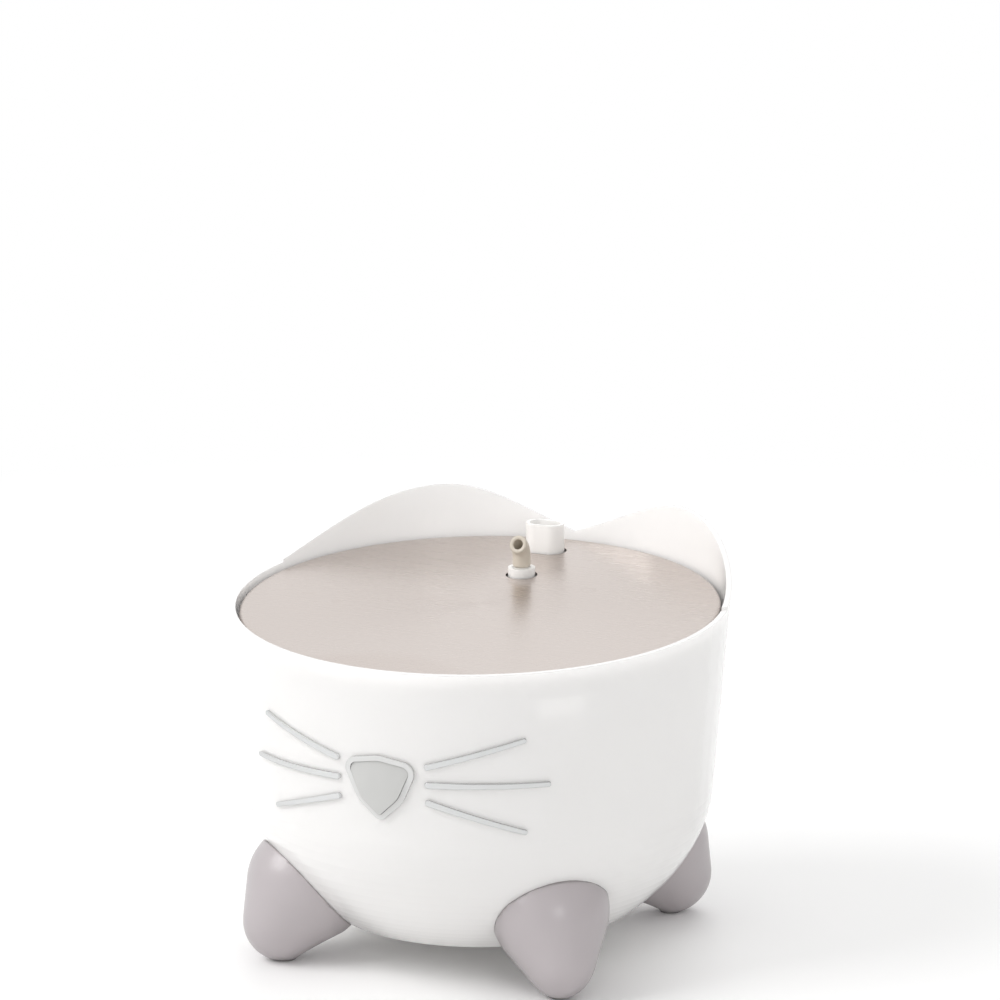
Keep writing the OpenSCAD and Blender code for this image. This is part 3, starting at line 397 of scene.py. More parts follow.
class Effects:
    """The effects that several materials share, each a node group with named inputs and outputs."""

    def __init__(self) -> None:
        """Builds all the groups once."""
        self.skin = self.moulded_skin()
        self.brush = self.brushed_sheet()
        self.felt = self.pressed_felt()

    @staticmethod
    def group(
        name: str, inputs: dict[str, float], outputs: dict[str, str]
    ) -> tuple[bpy.types.NodeTree, Board, bpy.types.Node]:
        """Starts a node group.

        Args:
            name: The group's name.
            inputs: Its number inputs with their first values.
            outputs: Its outputs with the type of each.

        Returns:
            The group, its board and its input node.
        """
        tree = bpy.data.node_groups.new(name, "ShaderNodeTree")
        for key, value in inputs.items():
            socket = tree.interface.new_socket(name=key, in_out="INPUT", socket_type="NodeSocketFloat")
            socket.default_value = value
        for key, kind in outputs.items():
            tree.interface.new_socket(name=key, in_out="OUTPUT", socket_type=kind)
        board = Board(tree)
        return tree, board, board.add("NodeGroupInput")

    @staticmethod
    def finish(board: Board, outputs: dict[str, Socket]) -> None:
        """Joins a group's results to its output node.

        Args:
            board: The group's board.
            outputs: The socket that feeds each output.
        """
        board.add("NodeGroupOutput", dict(outputs))

    def moulded_skin(self) -> bpy.types.NodeTree:
        """The skin of an injection moulding: fine grain, a slow wave, rounded edges and handling marks.

        Returns:
            The group. Its tone and gloss are noise from 0 to 1, and its normal holds wave, then grain.
        """
        tree, board, given = self.group(
            "Moulded skin",
            {"Grain": 2500.0, "Grain depth": 0.05, "Wave depth": 0.02, "Edge radius": 0.0004},
            {"Tone": "NodeSocketFloat", "Gloss": "NodeSocketFloat", "Normal": "NodeSocketVector"},
        )
        at = board.add("ShaderNodeTexCoord").outputs["Object"]
        slow = board.noise(at, 14.0, 2.0)
        tone = board.noise(at, 38.0, 4.0, 0.55)
        marks = board.noise(board.stretch(at, (1.0, 1.0, 2.6)), 160.0, 5.0, 0.62)
        grain = {"Vector": at, "Scale": given.outputs["Grain"], "Detail": 2.0}
        fine = board.add("ShaderNodeTexNoise", grain).outputs[0]
        edge = board.add("ShaderNodeBevel", {"Radius": given.outputs["Edge radius"]}, samples=4).outputs[0]
        wave = board.add(
            "ShaderNodeBump",
            {"Strength": given.outputs["Wave depth"], "Distance": 0.004, "Height": slow, "Normal": edge},
        ).outputs[0]
        skin = board.add(
            "ShaderNodeBump",
            {"Strength": given.outputs["Grain depth"], "Distance": 0.0002, "Height": fine, "Normal": wave},
        ).outputs[0]
        gloss = board.math("MULTIPLY_ADD", marks, 0.6, board.math("MULTIPLY", tone, 0.4))
        self.finish(board, {"Tone": tone, "Gloss": gloss, "Normal": skin})
        return tree

    def brushed_sheet(self) -> bpy.types.NodeTree:
        """Sheet steel brushed along X: long streaks, dried water spots, and a painted reflection that darkens
        turned-down edges.

        Returns:
            The group. Streaks are noise drawn out 90 times along X; spots are rings of cells; the painted
            side reflection grows from 0 on level sheet to 1 on upright sheet, in bands as a room's dark and
            light corners give.
        """
        tree, board, given = self.group(
            "Brushed sheet",
            {"Streak depth": 0.1, "Edge radius": 0.0004},
            {"Streak": "NodeSocketFloat", "Spots": "NodeSocketFloat", "Side": "NodeSocketFloat",
             "Normal": "NodeSocketVector"},
        )
        at = board.add("ShaderNodeTexCoord").outputs["Object"]
        facing = board.add("ShaderNodeSeparateXYZ", {0: board.add("ShaderNodeNewGeometry").outputs["Normal"]})
        # painted reflection: upright sheet gets a growing share of a darker colour, in bands
        level = board.math("ABSOLUTE", facing.outputs[2])
        values = {"Value": level, "From Min": 0.35, "From Max": 0.97, "To Min": 1.0, "To Max": 0.0}
        side = board.add("ShaderNodeMapRange", values, interpolation_type="SMOOTHSTEP").outputs[0]
        bands = board.noise(board.stretch(at, (16.0, 16.0, 0.6)), 1.0, 2.0, 0.45)
        deep = board.math("MULTIPLY", side, board.math("MULTIPLY_ADD", bands, 1.5, -0.05))
        long = board.noise(board.stretch(at, (14.0, 1300.0, 1300.0)), 1.0, 4.0, 0.7)
        short = board.noise(board.stretch(at, (60.0, 3800.0, 3800.0)), 1.0, 2.0, 0.5)
        streak = board.math("MULTIPLY_ADD", long, 0.6, board.math("MULTIPLY", short, 0.4))
        spot = {"Vector": at, "Scale": 55.0, "Randomness": 1.0}
        cell = board.add("ShaderNodeTexVoronoi", spot).outputs["Distance"]
        ring = board.math("COMPARE", cell, 0.16, 0.035)
        patch = board.math("GREATER_THAN", board.noise(at, 22.0, 2.0), 0.6)
        edge = board.add("ShaderNodeBevel", {"Radius": given.outputs["Edge radius"]}, samples=4).outputs[0]
        normal = board.add(
            "ShaderNodeBump",
            {"Strength": given.outputs["Streak depth"], "Distance": 0.0001, "Height": streak, "Normal": edge},
        ).outputs[0]
        spots = board.math("MULTIPLY", ring, patch)
        self.finish(board, {"Streak": streak, "Spots": spots, "Side": deep, "Normal": normal})
        return tree

    def pressed_felt(self) -> bpy.types.NodeTree:
        """Pressed filter felt: fibres that cross each other, and grains that show through.

        Returns:
            The group. Fibres are two noises drawn out along crossing lines; grains are cells.
        """
        tree, board, given = self.group(
            "Pressed felt",
            {"Fibre depth": 0.4, "Grain size": 900.0},
            {"Fibre": "NodeSocketFloat", "Grains": "NodeSocketFloat", "Normal": "NodeSocketVector"},
        )
        at = board.add("ShaderNodeTexCoord").outputs["Object"]
        one = board.noise(board.stretch(at, (900.0, 5200.0, 3000.0)), 1.0, 3.0, 0.6)
        two = board.noise(board.stretch(at, (5200.0, 1100.0, 3000.0)), 1.0, 3.0, 0.6)
        fibre = board.math("MAXIMUM", one, two)
        size = given.outputs["Grain size"]
        cell = board.add("ShaderNodeTexVoronoi", {"Vector": at, "Scale": size}).outputs["Distance"]
        lump = board.noise(at, 260.0, 3.0, 0.6)
        height = board.math("MULTIPLY_ADD", cell, -0.5, board.math("MULTIPLY_ADD", fibre, 0.8, lump))
        normal = board.add(
            "ShaderNodeBump", {"Strength": given.outputs["Fibre depth"], "Distance": 0.0006, "Height": height}
        ).outputs[0]
        self.finish(board, {"Fibre": fibre, "Grains": cell, "Normal": normal})
        return tree


class Paint:
    """Makes the materials and puts them on the pieces."""

    rim_blend = 0.42
    rim_power = 1.9
    painted_rim_shade = 0.22

    def __init__(self) -> None:
        """Builds the shared effects."""
        self.effects = Effects()
        self.made: dict[str, bpy.types.Material] = {}

    def material(self, finish: Finish) -> bpy.types.Material:
        """Builds a finish's material, or returns the one that was built before.

        Args:
            finish: The finish.

        Returns:
            The material.
        """
        if finish.name not in self.made:
            material = bpy.data.materials.new(finish.name)
            material.use_nodes = True
            board = Board(material.node_tree)
            shader = self.shader(board, finish)
            build = {Family.STEEL: self.steel, Family.FELT: self.felt}.get(finish.family, self.moulded)
            build(board, shader, finish)
            self.made[finish.name] = material
        return self.made[finish.name]

    @staticmethod
    def shader(board: Board, finish: Finish) -> bpy.types.Node:
        """Adds the Principled shader with the finish's constants on its own sockets.

        Args:
            board: The material's board.
            finish: The finish.

        Returns:
            The shader's node.
        """
        values: Values = {
            "Base Color": (*finish.colour, 1.0),
            "Roughness": finish.roughness,
            "IOR": finish.ior,
            "Coat Weight": finish.coat,
            "Coat Roughness": finish.coat_roughness,
            "Sheen Weight": finish.sheen,
            "Transmission Weight": finish.transmission,
            "Subsurface Weight": finish.subsurface,
            "Subsurface Scale": finish.depth,
        }
        if finish.glow:
            values["Emission Color"] = (*finish.colour, 1.0)
            values["Emission Strength"] = finish.glow
        if finish.family is Family.STEEL:
            values["Metallic"] = 1.0
            values["Anisotropic"] = 0.45
        node = board.add("ShaderNodeBsdfPrincipled", values)
        node.inputs["Subsurface Radius"].default_value = (1.0, 1.0, 1.0)
        board.add("ShaderNodeOutputMaterial", {"Surface": node.outputs[0]})
        return node

    @staticmethod
    def roughness(board: Board, share: Socket, finish: Finish) -> Socket:
        """Spreads the finish's roughness by a share from 0 to 1: roughness + spread (2 share - 1)."""
        return board.math("MULTIPLY_ADD", share, 2 * finish.spread, finish.roughness - finish.spread)

    @staticmethod
    def join(board: Board, shader: bpy.types.Node, tint: Socket, rough: Socket, normal: Socket) -> None:
        """Feeds the shader's colour, roughness and normal, the three that vary over a surface."""
        for key, socket in (("Base Color", tint), ("Roughness", rough), ("Normal", normal)):
            board.tree.links.new(socket, shader.inputs[key])

    def moulded(self, board: Board, shader: bpy.types.Node, finish: Finish) -> None:
        """Dresses a shader as moulded or clear plastic.

        Args:
            board: The material's board.
            shader: The Principled shader.
            finish: The finish.
        """
        values: Values = {
            "Grain": finish.grain,
            "Grain depth": finish.grain_depth,
            "Wave depth": finish.wave,
            "Edge radius": finish.edge,
        }
        skin = board.add("ShaderNodeGroup", node_tree=self.effects.skin)
        for key, value in values.items():
            skin.inputs[key].default_value = value
        tint = board.mix(skin.outputs["Tone"], finish.scaled(finish.shade), finish.colour)
        # painted shade: surfaces seen edge-on are mixed toward a dark colour, a painted dark outline
        if finish.rim:
            grazing = board.add("ShaderNodeLayerWeight", {"Blend": self.rim_blend}).outputs["Facing"]
            share = board.math("MULTIPLY", board.math("POWER", grazing, self.rim_power), finish.rim)
            tint = board.mix(share, tint, finish.scaled(self.painted_rim_shade))
        rough = self.roughness(board, skin.outputs["Gloss"], finish)
        self.join(board, shader, tint, rough, skin.outputs["Normal"])

    def steel(self, board: Board, shader: bpy.types.Node, finish: Finish) -> None:
        """Dresses a shader as brushed sheet steel.

        Args:
            board: The material's board.
            shader: The Principled shader.
            finish: The finish.
        """
        brush = board.add("ShaderNodeGroup", node_tree=self.effects.brush)
        brush.inputs["Streak depth"].default_value = finish.grain_depth
        brush.inputs["Edge radius"].default_value = finish.edge
        sheet = board.mix(brush.outputs["Streak"], finish.scaled(finish.shade), finish.colour)
        # painted reflection: upright sheet is mixed toward the darker side colour
        tint = board.mix(brush.outputs["Side"], sheet, finish.painted_side_reflection_colour)
        rough = self.roughness(board, brush.outputs["Streak"], finish)
        dulled = board.math("MULTIPLY_ADD", brush.outputs["Spots"], 0.05, rough)
        self.join(board, shader, tint, dulled, brush.outputs["Normal"])

    def felt(self, board: Board, shader: bpy.types.Node, finish: Finish) -> None:
        """Dresses a shader as pressed filter felt with grains behind it.

        Args:
            board: The material's board.
            shader: The Principled shader.
            finish: The finish.
        """
        felt = board.add("ShaderNodeGroup", node_tree=self.effects.felt)
        felt.inputs["Fibre depth"].default_value = finish.grain_depth
        felt.inputs["Grain size"].default_value = finish.grain
        fibres = board.math("MULTIPLY", felt.outputs["Fibre"], 0.7)
        share = board.math("MULTIPLY_ADD", felt.outputs["Grains"], 0.5, fibres)
        tint = board.mix(share, finish.scaled(finish.shade), finish.colour)
        rough = self.roughness(board, felt.outputs["Fibre"], finish)
        self.join(board, shader, tint, rough, felt.outputs["Normal"])

    def dress(self, piece: bpy.types.Object, finish: Finish) -> None:
        """Puts a finish on a whole piece and reports it.

        Args:
            piece: The piece.
            finish: Its finish.
        """
        material = self.material(finish)
        if piece.data.materials:
            for i in range(len(piece.data.materials)):
                piece.data.materials[i] = material
        else:
            piece.data.materials.append(material)
        LOG.info("%s: %s", piece.name, finish.name)


# ---- The finishes of this fountain --------------------------------------------------------------

GLOSS_WHITE = Finish(
    "Bowl white", linear(247, 245, 243), roughness=0.2, spread=0.05, coat=0.6, shade=0.985, grain_depth=0.02,
    wave=0.05, edge=0.0007, subsurface=0.45, depth=0.012,
)  # fmt: skip
# rim: painted shade, the paws darken where they are seen edge-on
PAW_MAUVE = Finish(
    "Paw mauve", linear(180, 173, 175), roughness=0.36, shade=0.93, coat=0.35, coat_roughness=0.22,
    grain=3200.0, grain_depth=0.12, wave=0.04, edge=0.0008, rim=0.35,
)  # fmt: skip
PAD_RUBBER = Finish("Pad rubber", linear(120, 118, 117), roughness=0.7, grain_depth=0.3)
NOSE_GLOW = Finish(
    "Nose window", linear(206, 206, 204), roughness=0.22, coat=0.5, shade=0.9, transmission=0.12,
    subsurface=0.2, edge=0.0005,
)  # fmt: skip
# rim: painted shade, the bezel and the whisker bars darken to dark outlines where seen edge-on
NOSE_RIM = Finish("Nose bezel", linear(212, 212, 211), roughness=0.12, coat=0.9, edge=0.0003, rim=0.95)
WHISKER = Finish("Whisker bar", linear(212, 213, 213), roughness=0.1, coat=0.9, edge=0.0007, rim=0.9)
PUMP_CREAM = Finish(
    "Pump cream", linear(246, 243, 235), roughness=0.42, grain=3000.0, grain_depth=0.15, edge=0.0005
)
LAMP_RED = Finish("Lamp red", linear(232, 30, 38), family=Family.GLOW, roughness=0.18, coat=0.8, glow=0.9)
SENSOR = Finish("Sensor window", linear(176, 176, 174), family=Family.CLEAR, roughness=0.2, transmission=0.3)
CUP_SOFT = Finish("Suction cup", linear(224, 224, 220), roughness=0.3, transmission=0.4, ior=1.42)
CERAMIC = Finish("Shaft ceramic", linear(240, 239, 234), roughness=0.12, coat=0.6, grain_depth=0.02)
BUSH_BLACK = Finish("Bush rubber", linear(40, 40, 41), roughness=0.6, shade=0.8, grain_depth=0.2)
TUBE_CLEAR = Finish(
    "Riser tube", linear(250, 250, 249), family=Family.CLEAR, roughness=0.2, transmission=0.7, ior=1.36
)
TRAY_WHITE = Finish(
    "Tray white", linear(252, 250, 247), roughness=0.33, coat=0.15, edge=0.0005, subsurface=0.3, depth=0.01
)
BOX_WHITE = Finish(
    "Box white", linear(244, 242, 239), roughness=0.36, coat=0.1, grain_depth=0.06, subsurface=0.2,
    depth=0.008,
)  # fmt: skip
FILTER_GREY = Finish(
    "Carbon pouch", linear(202, 194, 184), family=Family.FELT, roughness=0.88, sheen=0.25, shade=0.72,
    grain=950.0, grain_depth=0.5,
)  # fmt: skip
FILTER_PEACH = Finish(
    "Resin pouch", linear(240, 216, 194), family=Family.FELT, roughness=0.88, sheen=0.25, shade=0.8,
    grain=1100.0, grain_depth=0.45,
)  # fmt: skip
FILTER_RIM = Finish(
    "Filter frame", linear(214, 203, 192), roughness=0.55, shade=0.9, grain=1800.0, grain_depth=0.3
)
STEEL = Finish(
    "Brushed steel", linear(206, 196, 190), family=Family.STEEL, roughness=0.28, spread=0.07, shade=0.9,
    grain_depth=0.12, edge=0.0006,
)  # fmt: skip
STEM_WHITE = Finish("Stem white", linear(236, 233, 228), roughness=0.3, coat=0.2)
ELBOW_BEIGE = Finish(
    "Elbow beige", linear(205, 196, 182), roughness=0.4, coat=0.1, grain_depth=0.08, subsurface=0.1
)
CORD_GREY = Finish(
    "Cord grey", linear(176, 178, 180), roughness=0.42, shade=0.93, grain=1500.0, grain_depth=0.12
)
TIE_DARK = Finish("Tie", linear(52, 52, 54), roughness=0.55, grain_depth=0.3)
PLUG_GREY = Finish("Plug grey", linear(186, 187, 188), roughness=0.4, grain_depth=0.15, edge=0.0006)
PLUG_STEEL = Finish(
    "Plug shell", linear(206, 206, 208), family=Family.STEEL, roughness=0.22, painted_side_reflection_colour=(0.42, 0.42, 0.43)
)

SLOTS: dict[str, Finish] = {
    "bowl_white": GLOSS_WHITE, "paw_mauve": PAW_MAUVE, "pad_rubber": PAD_RUBBER, "nose_glow": NOSE_GLOW,
    "nose_rim": NOSE_RIM, "whisker_clear": WHISKER, "pump_cream": PUMP_CREAM, "lamp_red": LAMP_RED,
    "sensor_grey": SENSOR, "cup_soft": CUP_SOFT, "shaft_ceramic": CERAMIC, "bush_black": BUSH_BLACK,
    "tube_clear": TUBE_CLEAR, "tray_white": TRAY_WHITE, "box_white": BOX_WHITE, "filter_grey": FILTER_GREY,
    "filter_peach": FILTER_PEACH, "filter_rim": FILTER_RIM, "steel": STEEL, "stem_white": STEM_WHITE,
    "elbow_beige": ELBOW_BEIGE, "cord_grey": CORD_GREY, "tie_dark": TIE_DARK, "plug_grey": PLUG_GREY,
    "plug_steel": PLUG_STEEL,
}  # fmt: skip


# ---- Studio -------------------------------------------------------------------------------------


@dataclass
class Studio:
    """The pale room: the camera, the soft lamps and the floor."""

    eye: Place = (1.0050, -2.3070, 0.8215)
    right: Place = (0.9182, 0.3962, 0.0)
    up: Place = (-0.0955, 0.2212, 0.9705)
    aim: Place = (0.0, 0.0, 0.09)
    lens: float = 216.0
    sensor: float = 36.0
    room_light: float = 0.74
    gloss_low: float = 0.62
    gloss_high: float = 1.12

    def camera(self) -> bpy.types.Object:
        """Places the camera, looking down at the bowl from the front and right.

        Returns:
            The camera.
        """
        data = bpy.data.cameras.new("Camera")
        data.lens, data.sensor_width = self.lens, self.sensor
        data.clip_start, data.clip_end = 0.05, 50.0
        eye = bpy.data.objects.new("Camera", data)
        bpy.context.scene.collection.objects.link(eye)
        right, up = Vector(self.right).normalized(), Vector(self.up).normalized()
        back = right.cross(up)
        turn = Matrix((right, up, back)).transposed().to_4x4()
        eye.matrix_world = Matrix.Translation(Vector(self.eye)) @ turn
        bpy.context.scene.camera = eye
        return eye

    def lamp(
        self, name: str, place: Place, size: float, power: float, mirrored: bool = True
    ) -> bpy.types.Object:
        """Adds a square soft lamp that faces the bowl.

        Args:
            name: The lamp's name.
            place: Where it stands, in metres.
            size: Its side, in metres.
            power: Its power, in watts.
            mirrored: Whether gloss shows it.

        Returns:
            The lamp.
        """
        data = bpy.data.lights.new(name, "AREA")
        data.size, data.energy = size, power
        lamp = bpy.data.objects.new(name, data)
        bpy.context.scene.collection.objects.link(lamp)
        lamp.location = place
        lamp.visible_glossy = mirrored
        lamp.rotation_mode = "QUATERNION"
        lamp.rotation_quaternion = (Vector(place) - Vector(self.aim)).to_track_quat("Z", "Y")
        return lamp

    def world(self) -> None:
        """Lights the room evenly; the eye sees plain white, and gloss sees it brighten from right to left."""
        world = bpy.data.worlds.new("Room")
        bpy.context.scene.world = world
        world.use_nodes = True
        board = Board(world.node_tree)
        path = board.add("ShaderNodeLightPath")
        seen = board.math("MAXIMUM", path.outputs["Is Camera Ray"], path.outputs["Is Transmission Ray"])
        way = board.add("ShaderNodeTexCoord").outputs["Generated"]
        aside = board.add("ShaderNodeVectorMath", {0: way, 1: (-0.85, 0.15, 0.5)}, operation="DOT_PRODUCT")
        values = {"Value": aside.outputs["Value"], "From Min": -0.6, "From Max": 0.6}
        values |= {"To Min": self.gloss_low, "To Max": self.gloss_high}
        gloss = board.add("ShaderNodeMapRange", values, interpolation_type="SMOOTHSTEP").outputs[0]
        extra = board.math("SUBTRACT", gloss, self.room_light)
        shine = board.math("MULTIPLY_ADD", extra, path.outputs["Is Glossy Ray"], self.room_light)
        unseen = board.math("SUBTRACT", 1.0, seen)
        strength = board.math("MAXIMUM", seen, board.math("MULTIPLY", shine, unseen))
        back = board.add("ShaderNodeBackground", {"Color": (1.0, 1.0, 1.0, 1.0), "Strength": strength})
        board.add("ShaderNodeOutputWorld", {"Surface": back.outputs[0]})

    def floor(self) -> bpy.types.Object:
        """Lays the pale floor: a flat disc at height 0 that fades into the room's white far out.

        Returns:
            The floor.
        """
        rings = np.array([0.0001, 0.25, 0.5, 1.0, 2.0, 4.0])
        a = np.linspace(0.0, 2.0 * math.pi, 48, endpoint=False)
        r, t = np.meshgrid(rings, a, indexing="ij")
        points = np.stack([r * np.cos(t), r * np.sin(t), np.zeros_like(r)], axis=-1)
        quads = Surface.faces(len(rings), len(a))[:, ::-1]
        floor = Surface.mesh("Floor", points, quads, [list(range(len(a)))])
        material = bpy.data.materials.new("Floor")
        material.use_nodes = True
        board = Board(material.node_tree)
        matt_values = {"Base Color": (0.95, 0.948, 0.945, 1.0), "Roughness": 0.6}
        matt = board.add("ShaderNodeBsdfPrincipled", matt_values)
        white = board.add("ShaderNodeEmission", {"Color": (1.0, 1.0, 1.0, 1.0), "Strength": 1.0})
        at = board.add("ShaderNodeTexCoord").outputs["Object"]
        far = board.add("ShaderNodeVectorMath", {0: at}, operation="LENGTH").outputs["Value"]
        fade = board.add("ShaderNodeMapRange", {"Value": far, "From Min": 0.25, "From Max": 0.9}).outputs[0]
        both = board.add("ShaderNodeMixShader", {0: fade, 1: matt.outputs[0], 2: white.outputs[0]})
        board.add("ShaderNodeOutputMaterial", {"Surface": both.outputs[0]})
        floor.data.materials.append(material)
        return floor

    def build(self) -> None:
        """Builds the room and sets how its colours are shown."""
        bpy.context.scene.view_settings.view_transform = "Standard"
        self.world()
        self.lamp("Key", (-1.25, -1.0, 1.5), 1.2, 22.0)
        self.lamp("Window", (1.25, -1.35, 0.7), 0.5, 3.2)
        self.lamp("Back", (-0.2, 1.3, 1.5), 1.2, 8.0, mirrored=False)
        self.floor()
        LOG.info("the room stands")


# ---- Cord ---------------------------------------------------------------------------------------


@dataclass
class SupplyCord:
    """The pump's supply cord: up the bowl's wall, through the grommet, down the bay, coiled behind.

    The route's points lie where the CAD's route lies, in millimetres. The coil's turns lie beside and on
    each other in eight places of its square section, and each turn steps over to the next place.
    """

    diameter: float = 4.2
    route: tuple[Place, ...] = (
        (-16.876, 18.277, 57), (-26, 6, 57), (-40, -8, 52), (-58, -14, 44), (-76, -4, 46), (-85, 18, 58),
        (-84, 42, 78), (-74, 62, 98), (-61, 77, 117), (-51, 86.4, 127.5), (-41, 92.6, 135.8),
        (-34.7, 93.8, 139), (-28.5, 94.1, 138.1), (-23.8, 94, 134), (-22, 94, 128), (-22, 94, 120),
        (-22, 94.6, 108), (-22, 97, 88), (-22, 99.5, 62), (-22, 102, 38), (-23, 108, 18), (-26, 119, 6.5),
        (-29.4, 127, 3.6),
    )  # fmt: skip
    lead: tuple[Place, ...] = ((-76, 157.6, 6.4), (-87, 155.6, 4.4), (-96, 158, 4.2), (-103, 162, 4.2))
    coil_at: tuple[float, float] = (-57.0, 134.0)
    places: tuple[tuple[float, float], ...] = (
        (27.3, 3.4), (23.0, 3.4), (18.7, 3.4), (18.7, 7.7), (18.7, 12.0), (23.0, 12.0), (23.0, 7.7),
        (27.3, 7.7),
    )  # fmt: skip
    turns: float = 7.0 + 105.0 / 360.0
    step: float = 1.5
    sides: int = 14
    path: np.ndarray = field(default_factory=lambda: np.zeros((0, 3)))

    def coil(self) -> np.ndarray:
        """Winds the coil.

        At turn t the cord stands at angle 360 t and in the place of that turn, and a soft step 80 degrees
        long takes it to the next place. Each turn's step comes 26 degrees earlier than the last one's.

        Returns:
            The coil's points in millimetres, 24 a turn.
        """
        t = np.linspace(0.0, self.turns, int(round(self.turns * 24)) + 1)
        places = np.array(self.places)
        at = np.tile(places[0], (len(t), 1))
        for i in range(len(places) - 1):
            middle = i + (300.0 - 26.0 * i) / 360.0
            at = at + Surface.soft((t - middle) / (80.0 / 360.0) + 0.5)[:, None] * (places[i + 1] - places[i])
        a = 2.0 * math.pi * t
        x, y = self.coil_at
        return np.column_stack([x + at[:, 0] * np.cos(a), y + at[:, 0] * np.sin(a), at[:, 1]])

    def build(self, paint: Paint, nodes: Nodes) -> None:
        """Args:
            paint: The paint that dresses it.
            nodes: The CAD nodes; not used.
        """
        points = np.vstack([self.route, self.coil(), self.lead]) * MM
        self.path = Surface.even_path(Surface.smooth_path(points, 8), self.step * MM)
        radii = np.full(len(self.path), self.diameter / 2 * MM)
        cord = Surface.tube("supply_cord", self.path, radii, self.sides)
        self.wrap(cord)
        paint.dress(cord, CORD_GREY)
        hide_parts("power_cord", "cord_coil", "plug_lead")
        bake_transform(cord)

    def wrap(self, cord: bpy.types.Object) -> None:
        """Gives the cord's mesh a map: U goes round it and V along it, in diameters.

        Args:
            cord: The cord.
        """
        layer = cord.data.uv_layers.new(name="Along")
        corner = np.empty(len(cord.data.loops), np.int64)
        cord.data.loops.foreach_get("vertex_index", corner)
        u, v = (corner % self.sides) / self.sides, (corner // self.sides) * self.step / self.diameter
        layer.data.foreach_set("uv", np.column_stack([u, v]).astype(np.float32).ravel())


# ---- Filter pouches -----------------------------------------------------------------------------


@dataclass
class FilterPouches:
    """The four filled pouches of the cartridge, two of carbon and two of resin.

    Each is a closed pillow about its own centre. In plan it is a square with round corners, cut back round
    the cartridge's middle opening. Its top is a low crown with creases toward the seam, its underside a
    deep cup that narrows downward.
    """

    rings: int = 26
    around: int = 96
    corner_power: float = 7.0
    crown: float = 2.4
    crease: float = 0.28
    gap: float = 0.1
    middle: float = 9.3

    def outline(self, angle: np.ndarray, half: float, centre: tuple[float, float]) -> np.ndarray:
        """How far the seam lies from the pouch's centre at each angle.

        The square is a superellipse: half over the root of power p of |cos a|^p + |sin a|^p. It is kept out
        of the round middle opening, by the nearer of the two distances along the ray.

        Args:
            angle: The angles.
            half: Half the pouch's width.
            centre: The pouch's centre from the cartridge's, in metres.

        Returns:
            The distances in metres.
        """
        p = self.corner_power
        square = half / (np.abs(np.cos(angle)) ** p + np.abs(np.sin(angle)) ** p) ** (1.0 / p)
        along = -(centre[0] * np.cos(angle) + centre[1] * np.sin(angle))
        across = centre[0] ** 2 + centre[1] ** 2 - along**2
        opening = self.middle * MM
        met = (along > 0) & (across < opening**2)
        hit = np.where(met, along - np.sqrt(np.maximum(opening**2 - across, 0.0)), 1.0)
        return np.minimum(square, hit)

    def pillow(
        self, centre: tuple[float, float], half: float, low: float, high: float, seam: float, seed: int
    ) -> np.ndarray:
        """Works out one pillow.

        The first parameter goes from the middle of the top over the seam to the middle of the underside, the
        second goes round. The top stands crown (1 - share^2.6) over the seam, with creases that are sums of
        sines of the angle and grow toward the seam. The underside falls to the depth by (1 - share^5), and
        its sides draw in by a tenth.

        Args:
            centre: The pouch's centre from the cartridge's, in metres.
            half: Half its width.
            low: The height of its lowest point.
            high: The height of its highest point.
            seam: The height of its seam.
            seed: What makes its creases its own.

        Returns:
            The points as an array of rings by angles by 3, about the cartridge's centre.
        """
        noise = np.random.default_rng(seed)
        a = np.linspace(0.0, 2.0 * math.pi, self.around, endpoint=False)[None, :]
        out, back = np.linspace(0.02, 1.0, self.rings), np.linspace(0.995, 0.02, self.rings)
        share = np.concatenate([out, back])[:, None]
        under = (np.arange(2 * self.rings) >= self.rings)[:, None]
        edge = self.outline(a, half, centre)
        folds = sum(
            noise.uniform(0.3, 1.0) * np.sin(k * a + noise.uniform(0, 6.28)) for k in (5, 8, 11, 17, 23)
        ) * (self.crease * MM * share**3 * (1.0 - share**8))
        lumps = np.sin(share * 9.0 + 2.0 * np.cos(2.0 * a + seed)) * 0.16 * MM * (1.0 - share**4)
        top = seam + (high - seam) * (1.0 - share**2.6) + folds + lumps
        bottom = seam - (seam - low) * (1.0 - share**7) ** 0.8
        draw = np.where(under, 1.0 - 0.1 * Surface.soft((seam - bottom) / (seam - low)), 1.0)
        reach = share * edge * draw
        z = np.where(under, bottom + lumps * 0.5, np.minimum(top, high))
        x, y = centre[0] + reach * np.cos(a), centre[1] + reach * np.sin(a)
        return np.stack([x, y, np.broadcast_to(z, reach.shape)], -1)

    def build(self, paint: Paint) -> None:
        """Args:
            paint: The paint that dresses them.
        """
        for name, node, side, finish, slot in (
            ("carbon_pouches", "carbon_pockets", -1, FILTER_GREY, "filter_grey"),
            ("resin_pouches", "resin_pockets", 1, FILTER_PEACH, "filter_peach"),
        ):
            low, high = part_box(node)
            width = high.x - low.x
            at = (abs(low.x) + abs(high.x)) / 2
            middle_y = (low.y + high.y) / 2
            seam = high.z - self.crown * MM
            points, quads, caps = [], [], []
            for k, fore in enumerate((-1, 1)):
                centre, half = (side * at, fore * at), width / 2 - self.gap * MM
                shape = self.pillow(centre, half, low.z, high.z, seam, 11 * k + side + 5)
                shape[..., 1] += middle_y
                start = k * shape.shape[0] * shape.shape[1]
                points.append(shape.reshape(-1, 3))
                quads.append(Surface.faces(shape.shape[0], self.around, offset=start)[:, ::-1])
                last = start + (shape.shape[0] - 1) * self.around
                caps.append(list(range(start, start + self.around)))
                caps.append(list(range(last + self.around - 1, last - 1, -1)))
            pouch = Surface.mesh(name, np.vstack(points), np.vstack(quads), caps)
            paint.dress(pouch, finish)
            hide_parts(node)
            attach(pouch, "cartridge")


# ---- Steel top ----------------------------------------------------------------------------------


